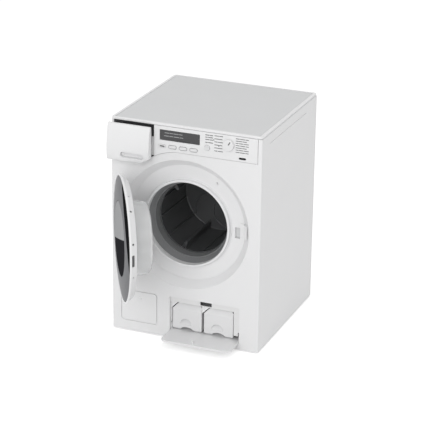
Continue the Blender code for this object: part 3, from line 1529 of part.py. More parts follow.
def switch_pin():
    """The plunger that feels whether the door is shut."""
    tip = DISH_FLOOR - SWITCH_PIN_PROUD
    collar = DISH_BACK + FIT
    profile = [
        (0, tip),
        (SWITCH_PIN_RADIUS - FIT, tip),
        (SWITCH_PIN_RADIUS, tip + FIT),
        (SWITCH_PIN_RADIUS, collar),
        (SWITCH_PIN_RADIUS + SWITCH_COLLAR, collar),
        (SWITCH_PIN_RADIUS + SWITCH_COLLAR, collar + SWITCH_COLLAR_THICKNESS),
        (0, collar + SWITCH_COLLAR_THICKNESS),
    ]
    return turned("door_switch_pin", profile, WHITE, SMALL_SIDES, (SWITCH_X, 0, SWITCH_HEIGHT))


def door_switch():
    """The small switch behind the dish that the plunger works."""
    front = DISH_BACK + FIT
    body = box(
        "door_switch",
        (SWITCH_X - SWITCH_WIDTH / 2, front, SWITCH_HEIGHT - SWITCH_BODY_HEIGHT / 2),
        (SWITCH_X + SWITCH_WIDTH / 2, front + SWITCH_DEPTH, SWITCH_HEIGHT + SWITCH_BODY_HEIGHT / 2),
        BLACK,
    )
    pocket = rod(
        "switch_pocket",
        (SWITCH_X, front - OVERRUN, SWITCH_HEIGHT),
        (SWITCH_X, front + SWITCH_COLLAR_THICKNESS + SWITCH_TRAVEL + FIT, SWITCH_HEIGHT),
        SWITCH_PIN_RADIUS + SWITCH_COLLAR + FIT,
    )
    return cut(body, pocket)


# Control panel


def fascia_outline():
    radius = FASCIA_ARC_RADIUS
    start = ring_angle(radius, FASCIA_LEFT)
    end = ring_angle(radius, -ring_edge(radius, FASCIA_BOTTOM))
    return (
        [(FASCIA_RIGHT, FASCIA_BOTTOM), (FASCIA_RIGHT, PANEL_TOP), (FASCIA_LEFT, PANEL_TOP)]
        + arc((0, AXIS_HEIGHT), radius, start, end, ARC_STEPS // 2)
    )


def control_fascia():
    """The control panel, with pockets for its display and lens, and posts for the board."""
    fascia = plate("control_fascia", [fascia_outline()], FASCIA_FRONT, FASCIA_BACK, WHITE)
    soften(fascia, FASCIA_EDGE)
    for number, (x, height) in enumerate(post_places()):
        post = rod(
            f"fascia_post_{number}", (x, FASCIA_BACK - LAP, height), (x, BOARD_FRONT - FIT, height),
            POST_RADIUS,
        )
        join(fascia, post)
    beyond = FASCIA_BACK + OVERRUN
    before = FASCIA_FRONT - OVERRUN
    cut(fascia, plate("display_pocket", [display_outline(0)], before,
                      FASCIA_FRONT + DISPLAY_SINK + DISPLAY_THICKNESS + FIT))
    cut(fascia, plate("lens_pocket", [lens_outline(0)], before, FASCIA_FRONT + LENS_POCKET))
    for number, x in enumerate(BUTTON_CENTRES):
        outline = stadium((x, BUTTON_HEIGHT), BUTTON_LENGTH + 2 * FIT, BUTTON_WIDTH + 2 * FIT)
        cut(fascia, plate(f"button_hole_{number}", [outline], before, beyond))
    for name, x, height, radius in (
        ("start_hole", START_X, START_HEIGHT, START_RADIUS),
        ("dial_hole", DIAL_X, DIAL_HEIGHT, DIAL_SHAFT_RADIUS),
    ):
        cut(fascia, rod(name, (x, before, height), (x, beyond, height), radius + FIT))
    return fascia


def post_places():
    left = FASCIA_LEFT + BOARD_SIDE_INSET + POST_INSET
    right = FASCIA_RIGHT - BOARD_SIDE_INSET - POST_INSET
    low = FASCIA_BOTTOM + BOARD_BOTTOM_INSET + POST_INSET
    high = PANEL_TOP - BOARD_TOP_INSET - POST_INSET
    return [(left, high), (right, low), (right, high)]


def display_outline(inset):
    return rounded(
        DISPLAY_LEFT + inset, DISPLAY_BOTTOM + inset, DISPLAY_RIGHT - inset, DISPLAY_TOP - inset,
        DISPLAY_CORNER,
    )


def lens_outline(inset):
    return stadium((LENS_X, LENS_HEIGHT), LENS_LENGTH - 2 * inset, LENS_WIDTH - 2 * inset)


def display_window():
    front = FASCIA_FRONT + DISPLAY_SINK
    return plate("display_window", [display_outline(FIT)], front, front + DISPLAY_THICKNESS, DARK_GREY)


def indicator_lens():
    front = FASCIA_FRONT - LENS_PROUD
    back = FASCIA_FRONT + LENS_POCKET - FIT
    return plate("indicator_lens", [lens_outline(FIT)], front, back, BLACK)


def option_button(number, x):
    """A flat key with a flange behind the panel and a stem that reaches the membrane."""
    centre = (x, BUTTON_HEIGHT)
    front = FASCIA_FRONT - BUTTON_PROUD
    flange = FASCIA_BACK + FIT
    name = f"option_button_{number}"
    key = plate(name, [stadium(centre, BUTTON_LENGTH, BUTTON_WIDTH)], front, flange + LAP, WHITE)
    soften(key, BUTTON_DOME, 1)
    wide = 2 * BUTTON_FLANGE
    outline = stadium(centre, BUTTON_LENGTH + wide, BUTTON_WIDTH + wide)
    rim = plate(name + "_flange", [outline], flange, flange + BUTTON_FLANGE_THICKNESS)
    stem = rod(name + "_stem", (x, flange, BUTTON_HEIGHT), (x, STEM_END, BUTTON_HEIGHT),
               BUTTON_STEM_RADIUS)
    return join(key, rim, stem)


def start_button():
    """The round start key."""
    front = FASCIA_FRONT - START_PROUD
    flange = FASCIA_BACK + FIT
    profile = [
        (0, front),
        (START_RADIUS - BUTTON_DOME, front),
        (START_RADIUS, front + BUTTON_DOME),
        (START_RADIUS, flange),
        (START_RADIUS + BUTTON_FLANGE, flange),
        (START_RADIUS + BUTTON_FLANGE, flange + BUTTON_FLANGE_THICKNESS),
        (BUTTON_STEM_RADIUS, flange + BUTTON_FLANGE_THICKNESS),
        (BUTTON_STEM_RADIUS, STEM_END),
        (0, STEM_END),
    ]
    return turned("start_button", profile, WHITE, MEDIUM_SIDES, (START_X, 0, START_HEIGHT))


def programme_dial():
    """The programme knob on its shaft, with a mark on its face."""
    seat = FASCIA_FRONT - FIT
    front = FASCIA_FRONT - DIAL_PROUD
    shaft_end = FASCIA_BACK + SELECTOR_GAP + SELECTOR_SHAFT_DEPTH
    profile = [
        (0, front),
        (DIAL_RADIUS - DIAL_EDGE, front),
        (DIAL_RADIUS, front + DIAL_EDGE),
        (DIAL_RADIUS, seat),
        (DIAL_SHAFT_RADIUS, seat),
        (DIAL_SHAFT_RADIUS, shaft_end),
        (0, shaft_end),
    ]
    dial = turned("programme_dial", profile, WHITE, MEDIUM_SIDES, (DIAL_X, 0, DIAL_HEIGHT))
    line = [
        (DIAL_X + reach * math.cos(DIAL_MARK_ANGLE), DIAL_HEIGHT + reach * math.sin(DIAL_MARK_ANGLE))
        for reach in (DIAL_MARK_START, DIAL_MARK_END)
    ]
    mark = plate("dial_mark", [band(line, DIAL_MARK_WIDTH)], front - OVERRUN, front + DIAL_MARK_DEPTH)
    return cut(dial, mark)


def circuit_board():
    return box(
        "circuit_board",
        (FASCIA_LEFT + BOARD_SIDE_INSET, BOARD_FRONT, FASCIA_BOTTOM + BOARD_BOTTOM_INSET),
        (FASCIA_RIGHT - BOARD_SIDE_INSET, BOARD_FRONT + BOARD_THICKNESS, PANEL_TOP - BOARD_TOP_INSET),
        BOARD_GREEN,
    )


def button_membrane():
    """The rubber strip with the keys' contacts, on the board's face."""
    left = BUTTON_CENTRES[0] - MEMBRANE_MARGIN
    right = START_X + START_RADIUS
    return box(
        "button_membrane",
        (left, MEMBRANE_FRONT, BUTTON_HEIGHT - MEMBRANE_MARGIN),
        (right, MEMBRANE_FRONT + MEMBRANE_THICKNESS, START_HEIGHT + MEMBRANE_MARGIN),
        RUBBER,
    )


def dial_selector():
    """The rotary switch on the board that the dial's shaft turns."""
    half = SELECTOR_HALF_WIDTH
    front = FASCIA_BACK + SELECTOR_GAP
    body = box(
        "dial_selector",
        (DIAL_X - half, front, DIAL_HEIGHT - half),
        (DIAL_X + half, BOARD_FRONT - FIT, DIAL_HEIGHT + half),
        DARK_GREY,
    )
    socket = rod(
        "selector_socket",
        (DIAL_X, front - OVERRUN, DIAL_HEIGHT),
        (DIAL_X, front + SELECTOR_SHAFT_DEPTH + FIT, DIAL_HEIGHT),
        DIAL_SHAFT_RADIUS + FIT,
    )
    return cut(body, socket)


# Detergent drawer


def drawer_front():
    """The bowed drawer front with a grip slot, its corner cut to follow the dish."""
    height = DRAWER_TOP - DRAWER_BOTTOM
    bow = [
        (FRONT - DRAWER_BULGE * out + WALL * (1 - out) / 2, DRAWER_BOTTOM + height * up)
        for up, out in DRAWER_BULGE_SHARES
    ]
    profile = [(DRAWER_BACK, DRAWER_BOTTOM), (DRAWER_BACK, DRAWER_TOP)] + bow
    front = plate("drawer_front", [profile], DRAWER_LEFT, DRAWER_RIGHT, WHITE, FACE_SIDE)
    soften(front, DRAWER_EDGE)
    beyond = FRONT - DRAWER_BULGE - OVERRUN
    corner = rod(
        "drawer_corner", (0, beyond, AXIS_HEIGHT), (0, DRAWER_BACK + OVERRUN, AXIS_HEIGHT),
        FASCIA_ARC_RADIUS, sides=2 * LARGE_SIDES,
    )
    middle = ((GRIP_LEFT + GRIP_RIGHT) / 2, GRIP_HEIGHT)
    outline = stadium(middle, GRIP_RIGHT - GRIP_LEFT, GRIP_WIDTH)
    grip = plate("drawer_grip", [outline], beyond, FRONT - DRAWER_BULGE + GRIP_DEPTH)
    return cut(front, corner, grip)


def drawer_tray():
    """The tray behind the drawer front, in three compartments side by side."""
    front = DRAWER_BACK + FIT
    tray = box(
        "drawer_tray", (TRAY_LEFT, front, TRAY_BOTTOM),
        (TRAY_RIGHT, front + TRAY_LENGTH, TRAY_BOTTOM + TRAY_HEIGHT), DARK_GREY,
    )
    pitch = (TRAY_RIGHT - TRAY_LEFT - TRAY_WALL) / TRAY_POCKETS
    for number in range(TRAY_POCKETS):
        left = TRAY_LEFT + TRAY_WALL + number * pitch
        pocket = box(
            f"tray_pocket_{number}",
            (left, front + TRAY_WALL, TRAY_BOTTOM + TRAY_WALL),
            (left + pitch - TRAY_WALL, front + TRAY_LENGTH - TRAY_WALL,
             TRAY_BOTTOM + TRAY_HEIGHT + OVERRUN),
        )
        cut(tray, pocket)
    return tray


def drawer_housing():
    """The dark sleeve that the tray slides in, with a flange behind the front."""
    front = FRONT_INSIDE + FIT
    floor = TRAY_BOTTOM - RUN
    ceiling = TRAY_BOTTOM + TRAY_HEIGHT + HOUSING_HEADROOM
    left = TRAY_LEFT - RUN
    right = TRAY_RIGHT + RUN
    end = front + TRAY_LENGTH + HOUSING_TAIL
    sleeve = box(
        "drawer_housing",
        (left - HOUSING_WALL, front + LAP, floor - HOUSING_WALL),
        (right + HOUSING_WALL, end, ceiling + HOUSING_WALL),
        BLACK,
    )
    flange = box(
        "housing_flange",
        (-INNER_X + FIT, front, DRAWER_BOTTOM - HOUSING_FLANGE_DROP),
        (FASCIA_LEFT + HOUSING_FLANGE_LAP, front + HOUSING_WALL, PANEL_TOP - FIT),
    )
    inside = box(
        "housing_inside", (left, front - OVERRUN, floor), (right, end - HOUSING_WALL, ceiling)
    )
    join(sleeve, flange)
    return cut(sleeve, inside)


# Lower flap and canisters


def flap():
    """The lower flap: a plate with two ears, their pins and a latch tongue."""
    inner = FRONT + FLAP_THICKNESS
    section = [
        (FRONT, FLAP_TOP),
        (inner, FLAP_TOP),
        (inner, FLAP_LOWER_EDGE),
        (FRONT, FLAP_LOWER_EDGE + FLAP_CHAMFER),
    ]
    part = plate("flap", [section], FLAP_LEFT, FLAP_RIGHT, WHITE, FACE_SIDE)
    for name, edge, side in (("left", FLAP_LEFT, 1), ("right", FLAP_RIGHT, -1)):
        join(part, *flap_ear(name, edge, side))
        cut(part, flap_corner(name, edge, side))
    tongue_top = FLAP_TOP - TONGUE_DROP
    tongue = box(
        "flap_tongue",
        (TONGUE_X - TONGUE_WIDTH / 2, inner - LAP, tongue_top - TONGUE_THICKNESS),
        (TONGUE_X + TONGUE_WIDTH / 2, inner + TONGUE_LENGTH, tongue_top),
    )
    return join(part, tongue)


def flap_ear(name, edge, side):
    """An ear from the plate back to the pivot, and the pin that stands out of it."""
    y, height = FLAP_PIVOT[1:]
    inner = FRONT + FLAP_THICKNESS
    outline = [(inner - LAP, height - EAR_RADIUS)]
    outline += arc((y, height), EAR_RADIUS, -math.pi / 2, math.pi / 2)
    outline += [(inner - LAP, height + EAR_RADIUS)]
    low, high = sorted((edge, edge + side * EAR_THICKNESS))
    ear = plate(f"flap_ear_{name}", [outline], low, high, None, FACE_SIDE)
    pin = rod(
        f"flap_pin_{name}",
        (edge - side * FLAP_PIN_LENGTH, y, height),
        (edge + side * EAR_THICKNESS / 2, y, height),
        FLAP_PIN_RADIUS,
    )
    return ear, pin


def flap_corner(name, edge, side):
    """The slanting cut at a free corner of the flap."""
    x = edge - side * OVERRUN
    spare = FLAP_CORNER + OVERRUN
    outline = [
        (x, FLAP_TOP + OVERRUN),
        (x + side * (spare + OVERRUN), FLAP_TOP + OVERRUN),
        (x, FLAP_TOP - spare),
    ]
    return plate(f"flap_corner_{name}", [outline], FRONT - OVERRUN, FRONT + FLAP_THICKNESS + OVERRUN)


def flap_latch():
    """The black latch under the top of the recess that takes the flap's tongue."""
    front = FRONT_INSIDE + FIT
    middle = TONGUE_X + LATCH_SHIFT
    top = BAY_TOP - FIT
    body = box(
        "flap_latch",
        (middle - LATCH_WIDTH / 2, front, top - LATCH_HEIGHT),
        (middle + LATCH_WIDTH / 2, front + LATCH_DEPTH, top),
        BLACK,
    )
    tongue_top = FLAP_TOP - TONGUE_DROP
    pocket = box(
        "latch_pocket",
        (TONGUE_X - TONGUE_WIDTH / 2 - LATCH_CLEAR, front - OVERRUN,
         tongue_top - TONGUE_THICKNESS - LATCH_CLEAR),
        (TONGUE_X + TONGUE_WIDTH / 2 + LATCH_CLEAR, front + LATCH_POCKET, tongue_top + LATCH_CLEAR),
    )
    return cut(body, pocket)


def canister(name, left):
    """A pull-out canister: a shell open at the rear, with feet, a notch and a thumb hollow."""
    right = left + CANISTER_WIDTH
    foot_cut = CANISTER_FOOT_CHAMFER
    outline = [
        (left + foot_cut, CANISTER_BOTTOM),
        (right - foot_cut, CANISTER_BOTTOM),
        (right, CANISTER_BOTTOM + foot_cut),
        (right, CANISTER_TOP - CANISTER_SMALL_CHAMFER),
        (right - CANISTER_SMALL_CHAMFER, CANISTER_TOP),
        (left + CANISTER_CHAMFER, CANISTER_TOP),
        (left, CANISTER_TOP - CANISTER_CHAMFER),
        (left, CANISTER_BOTTOM + foot_cut),
    ]
    part = plate(name, [outline], CANISTER_FRONT, CANISTER_BACK, WHITE)
    soften(part, CANISTER_EDGE, 2, CANISTER_EDGE_ANGLE)
    middle = (left + right) / 2
    return cut(
        part, canister_toe(name, left, right), canister_notch(name, middle),
        canister_thumb(name, middle), canister_inside(name, left, right),
    )


def canister_toe(name, left, right):
    """The slant under the front edge that clears the flap as it swings."""
    toe = CANISTER_FOOT_CHAMFER
    outline = [
        (CANISTER_FRONT - OVERRUN, CANISTER_BOTTOM - OVERRUN),
        (CANISTER_FRONT + toe + OVERRUN, CANISTER_BOTTOM - OVERRUN),
        (CANISTER_FRONT - OVERRUN, CANISTER_BOTTOM + toe + OVERRUN),
    ]
    return plate(name + "_toe", [outline], left - OVERRUN, right + OVERRUN, None, FACE_SIDE)


def canister_notch(name, middle):
    """The arched notch between the feet."""
    half = NOTCH_WIDTH / 2
    arch = [
        (middle + half * math.cos(a), CANISTER_BOTTOM + NOTCH_HEIGHT * math.sin(a))
        for a in (math.pi * n / ARC_STEPS for n in range(ARC_STEPS + 1))
    ]
    outline = arch + [(middle - half, CANISTER_BOTTOM - OVERRUN), (middle + half, CANISTER_BOTTOM - OVERRUN)]
    return plate(name + "_notch", [outline], CANISTER_FRONT - OVERRUN, CANISTER_FRONT + NOTCH_DEPTH)


def canister_thumb(name, middle):
    """The shallow hollow above the notch, cut by a ball."""
    height = CANISTER_BOTTOM + THUMB_OFFSET
    mesh = bpy.data.meshes.new(name + "_thumb")
    shape = bmesh.new()
    bmesh.ops.create_uvsphere(shape, u_segments=SMALL_SIDES, v_segments=SMALL_SIDES // 2,
                              radius=THUMB_RADIUS)
    shape.to_mesh(mesh)
    shape.free()
    place = (middle, CANISTER_FRONT - THUMB_RADIUS + THUMB_SINK, height)
    return add_object(name + "_thumb", mesh, place, FACE_FRONT, None)


def canister_inside(name, left, right):
    """The hollow of the moulding, open at the rear and clear of the notch."""
    wall = CANISTER_WALL
    return box(
        name + "_inside",
        (left + wall, CANISTER_FRONT + NOTCH_DEPTH + wall, CANISTER_BOTTOM + wall),
        (right - wall, CANISTER_BACK + OVERRUN, CANISTER_TOP - max(wall, CANISTER_CHAMFER)),
    )


def canister_bay():
    """The housing behind the recess: floor, sides, ceiling, back, front flange and header."""
    front = FRONT_INSIDE + FIT
    floor = CANISTER_BOTTOM - FIT
    back = CANISTER_BACK + RUN
    outer_left = RECESS_LEFT - BAY_WALL
    outer_right = BAY_RIGHT + BAY_WALL
    shell = box(
        "canister_bay",
        (outer_left, front + LAP, floor - BAY_WALL),
        (outer_right, back + BAY_WALL, BAY_TOP + BAY_WALL),
        OFF_WHITE,
    )
    flange_low = floor - BAY_WALL
    flange = box(
        "bay_flange",
        (RECESS_LEFT - BAY_FLANGE, front, BASE_TOP + FIT),
        (RECESS_RIGHT + BAY_FLANGE, front + BAY_WALL, BAY_TOP + BAY_FLANGE),
    )
    cheeks = [bay_cheek("left", outer_left, RECESS_LEFT),
              bay_cheek("right", RECESS_RIGHT, RECESS_RIGHT + BAY_WALL)]
    inside = box("bay_inside", (RECESS_LEFT, front - OVERRUN, floor), (BAY_RIGHT, back, BAY_TOP))
    swing = box(
        "bay_flap_space",
        (RECESS_LEFT, front - OVERRUN, UNDERSIDE),
        (RECESS_RIGHT, FRONT + BAY_FLOOR_START, floor + FIT),
    )
    edge_space = box(
        "bay_edge_space",
        (BAY_RIGHT - LAP, front - OVERRUN, flange_low),
        (RECESS_RIGHT, FRONT + BAY_FLOOR_START, FLAP_PIVOT_HEIGHT + RUN),
    )
    ear_space = box(
        "bay_ear_space",
        (FLAP_RIGHT - EAR_THICKNESS - RUN, front - OVERRUN, flange_low),
        (RECESS_RIGHT, FRONT + BAY_FLOOR_START, FLAP_PIVOT_HEIGHT + EAR_SLOT_TOP),
    )
    header = box(
        "bay_header",
        (RECESS_LEFT - LAP, front, CANISTER_TOP + RUN),
        (BAY_RIGHT + LAP, front + BAY_WALL, BAY_TOP + LAP),
    )
    latch_middle = TONGUE_X + LATCH_SHIFT
    latch_space = box(
        "bay_latch_space",
        (latch_middle - LATCH_WIDTH / 2 - FIT, front - OVERRUN, BAY_TOP - FIT - LATCH_HEIGHT - RUN),
        (latch_middle + LATCH_WIDTH / 2 + FIT, front + BAY_WALL + OVERRUN, BAY_TOP),
    )
    join(shell, flange, *cheeks)
    cut(shell, inside, swing, edge_space, ear_space)
    join(shell, header)
    return cut(shell, latch_space, *bay_pin_holes())


def bay_cheek(name, low, high):
    """A side wall beside the flap's pivot."""
    return box(
        f"bay_cheek_{name}", (low, FRONT_INSIDE + FIT + LAP, BASE_TOP + FIT),
        (high, FRONT + BAY_FLOOR_START + BAY_WALL, FLAP_PIVOT_HEIGHT + EAR_SLOT_TOP + BAY_WALL),
    )


def bay_pin_holes():
    y, height = FLAP_PIVOT[1:]
    for name, x in (("left", RECESS_LEFT), ("right", RECESS_RIGHT)):
        yield rod(
            f"bay_pin_hole_{name}", (x - BAY_WALL - LAP, y, height), (x + BAY_WALL + LAP, y, height),
            FLAP_PIN_RADIUS + FIT,
        )


# Batteries, loudspeaker


def battery_box():
    """A tray for the cells, open towards the rear, with a boss for the cover's screw."""
    half = BOX_INNER_HALF + BOX_WALL
    rear = BACK_INSIDE - FIT
    tray = box(
        "battery_box",
        (-half, BOX_INNER_FRONT - BOX_WALL, BOX_BOTTOM),
        (half, rear, BOX_INNER_TOP + BOX_WALL),
        BLACK,
    )
    boss = box(
        "box_boss", (-BOX_BOSS_HALF_WIDTH, rear - BOX_BOSS_DEPTH, BOX_INNER_TOP + BOX_WALL - LAP),
        (BOX_BOSS_HALF_WIDTH, rear, BOX_BOSS_TOP),
    )
    inside = box(
        "box_inside", (-BOX_INNER_HALF, BOX_INNER_FRONT, BOX_INNER_BOTTOM),
        (BOX_INNER_HALF, BACK, BOX_INNER_TOP),
    )
    hole = rod(
        "box_screw_hole", (0, BACK - SCREW_LENGTH - FIT, COVER_SCREW_HEIGHT),
        (0, BACK, COVER_SCREW_HEIGHT), SCREW_RADIUS + SCREW_CLEAR,
    )
    join(tray, boss)
    return cut(tray, inside, hole)


def battery_cover():
    """The cover in the rear wall, with finger grooves and a screw hole."""
    front = BACK - COVER_THICKNESS
    half = BOX_INNER_HALF - FIT
    cover = box(
        "battery_cover", (-half, front, BOX_INNER_BOTTOM + FIT), (half, BACK, BOX_BOSS_TOP - FIT),
        OFF_WHITE,
    )
    middle = (BOX_INNER_BOTTOM + BOX_INNER_TOP) / 2
    for number in range(THUMB_GROOVES):
        height = middle + (number - (THUMB_GROOVES - 1) / 2) * THUMB_GROOVE_PITCH
        outline = stadium((0, height), THUMB_GROOVE_LENGTH, THUMB_GROOVE_WIDTH)
        cut(cover, plate(f"thumb_groove_{number}", [outline], BACK - THUMB_GROOVE_DEPTH, BACK + OVERRUN))
    return cut(cover, screw_hole("cover_hole", 0, COVER_SCREW_HEIGHT, COVER_THICKNESS))


def battery(number):
    """A round cell lying across the box; neighbours point opposite ways."""
    side = 1 if number % 2 else -1
    height = BOX_INNER_BOTTOM + CELL_SIDE_GAP + CELL_RADIUS + (number - 1) * CELL_PITCH
    end = CELL_LENGTH / 2
    body_end = end - CELL_NUB_LENGTH
    low, high = sorted((-side * end, side * body_end))
    cell = rod(f"battery_{number}", (low, CELL_AXIS, height), (high, CELL_AXIS, height),
               CELL_RADIUS, CELL_SLEEVE, MEDIUM_SIDES)
    soften(cell, CELL_EDGE, 1)
    near, far = sorted((side * (body_end - LAP), side * end))
    nub = rod(f"battery_nub_{number}", (near, CELL_AXIS, height), (far, CELL_AXIS, height),
              CELL_NUB_RADIUS)
    return join(cell, nub)


def battery_contact(name, side):
    """A sprung metal strip at one end of the cells."""
    near, far = sorted(
        (side * (CELL_LENGTH / 2 + FIT), side * (CELL_LENGTH / 2 + FIT + CONTACT_THICKNESS))
    )
    return box(
        name,
        (near, CELL_AXIS - CONTACT_HALF_WIDTH, BOX_INNER_BOTTOM + CONTACT_INSET),
        (far, CELL_AXIS + CONTACT_HALF_WIDTH, BOX_INNER_TOP - CONTACT_INSET),
        STEEL,
    )


def speaker():
    """The loudspeaker against the slots in the rear wall."""
    face = BACK_INSIDE - FIT
    basket = face - SPEAKER_FRAME - SPEAKER_BASKET_DEPTH
    magnet = basket - SPEAKER_MAGNET_DEPTH
    profile = [
        (0, magnet),
        (SPEAKER_MAGNET_RADIUS, magnet),
        (SPEAKER_MAGNET_RADIUS, basket),
        (SPEAKER_BASKET_RADIUS, basket),
        (SPEAKER_CONE_RADIUS, face - SPEAKER_FRAME),
        (SPEAKER_RADIUS, face - SPEAKER_FRAME),
        (SPEAKER_RADIUS, face),
        (SPEAKER_CONE_RADIUS, face),
        (SPEAKER_CAP_RADIUS, face - SPEAKER_CONE_DEPTH),
        (0, face - SPEAKER_CONE_DEPTH / 2),
    ]
    return turned("speaker", profile, DARK_GREY, MEDIUM_SIDES, (SPEAKER_X, 0, SPEAKER_HEIGHT))


# Assembly

side_panel("left_side_panel", -1)
side_panel("right_side_panel", 1)
base_plate()
for index, (foot_x, foot_y) in enumerate(foot_places(), 1):
    foot(index, foot_x, foot_y)
top_cover()
top_inlay()
back_panel()
screw("back_screw_left", -SCREW_X, SCREW_HEIGHT)
screw("back_screw_right", SCREW_X, SCREW_HEIGHT)
front_panel()
seal_collar()
bearing_bush()
bulkhead()
motor()
motor_bracket()
hinge_pin()
hinge_bracket()
door_catch()
door_switch()
control_fascia()
display_window()
indicator_lens()
circuit_board()
button_membrane()
dial_selector()
drawer_housing()
flap_latch()
canister_bay()
battery_box()
battery_cover()
screw("battery_cover_screw", 0, COVER_SCREW_HEIGHT)
for index in range(1, CELL_COUNT + 1):
    battery(index)
battery_contact("contact_left", -1)
battery_contact("contact_right", 1)
speaker()

drum_pivot = pivot("drum_axis", AXIS)
hang(drum_pivot, drum(), drum_shaft(), drum_gear())
pinion_pivot = pivot("pinion_axis", (0, 0, MOTOR_HEIGHT))
hang(pinion_pivot, pinion())
dial_pivot = pivot("dial_axis", (DIAL_X, 0, DIAL_HEIGHT))
hang(dial_pivot, programme_dial())
for index, button_x in enumerate(BUTTON_CENTRES, 1):
    hang(pivot(f"button_axis_{index}", (button_x, 0, BUTTON_HEIGHT)), option_button(index, button_x))
hang(pivot("start_axis", (START_X, 0, START_HEIGHT)), start_button())
hang(pivot("switch_axis", (SWITCH_X, 0, SWITCH_HEIGHT)), switch_pin())
left_canister = canister("canister_left", FIRST_CANISTER_LEFT)
hang(pivot("left_canister_slide", (FIRST_CANISTER_LEFT, 0, 0)), left_canister)
right_canister = canister("canister_right", SECOND_CANISTER_LEFT)
hang(pivot("right_canister_slide", (SECOND_CANISTER_LEFT, 0, 0)), right_canister)

door_pivot = pivot("door_axis", PIVOT)
hang(door_pivot, door_ring(), door_face(), door_window(), door_bowl())
door_pivot.rotation_euler.z = -DOOR_REST_ANGLE
flap_pivot = pivot("flap_axis", FLAP_PIVOT)
hang(flap_pivot, flap())
flap_pivot.rotation_euler.x = FLAP_REST_ANGLE
drawer_slide = pivot("drawer_slide", (DRAWER_LEFT, 0, DRAWER_BOTTOM))
hang(drawer_slide, drawer_front(), drawer_tray())
drawer_slide.location.y = -DRAWER_REST
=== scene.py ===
# A toy front-loading washing machine, seen from its right with the door ajar, the drawer part way
# out and the lower flap down. Metres, +Z up, the front faces -Y.

import math

import bpy
from mathutils import Matrix, Vector


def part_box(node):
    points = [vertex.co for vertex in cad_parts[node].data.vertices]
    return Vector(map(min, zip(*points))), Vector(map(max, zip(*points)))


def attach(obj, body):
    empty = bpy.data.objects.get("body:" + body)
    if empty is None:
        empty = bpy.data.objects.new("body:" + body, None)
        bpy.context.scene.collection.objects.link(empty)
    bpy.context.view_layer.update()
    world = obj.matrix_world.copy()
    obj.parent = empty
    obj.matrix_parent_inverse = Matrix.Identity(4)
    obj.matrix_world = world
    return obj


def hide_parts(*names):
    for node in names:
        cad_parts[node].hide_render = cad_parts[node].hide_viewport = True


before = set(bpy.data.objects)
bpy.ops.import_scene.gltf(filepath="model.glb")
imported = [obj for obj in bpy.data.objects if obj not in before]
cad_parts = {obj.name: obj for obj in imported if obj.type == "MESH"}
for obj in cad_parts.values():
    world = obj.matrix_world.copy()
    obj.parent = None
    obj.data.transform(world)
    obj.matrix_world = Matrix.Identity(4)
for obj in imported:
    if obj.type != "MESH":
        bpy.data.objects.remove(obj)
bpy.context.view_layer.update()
bpy.ops.object.select_all(action="DESELECT")

# Side panels. Flat injection-moulded sheets of white plastic, 2.5 mm thick, with a fine groove
# pressed in near the top and a boss at the rear that the back's screw bites into.

width = 0.182
height = 0.260
wall = 0.0025
gap = 0.0003
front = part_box("back_panel")[1].y - 0.180
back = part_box("back_panel")[1].y
panel_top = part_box("left_side_panel")[1].z
groove_z = height - 0.014
groove_depth = 0.0006
groove_front = front + 0.0226
groove_rear = back - 0.0355
boss_half = 0.0042
boss_length = 0.0105
screw_inset = 0.0065
screw_drop = 0.018


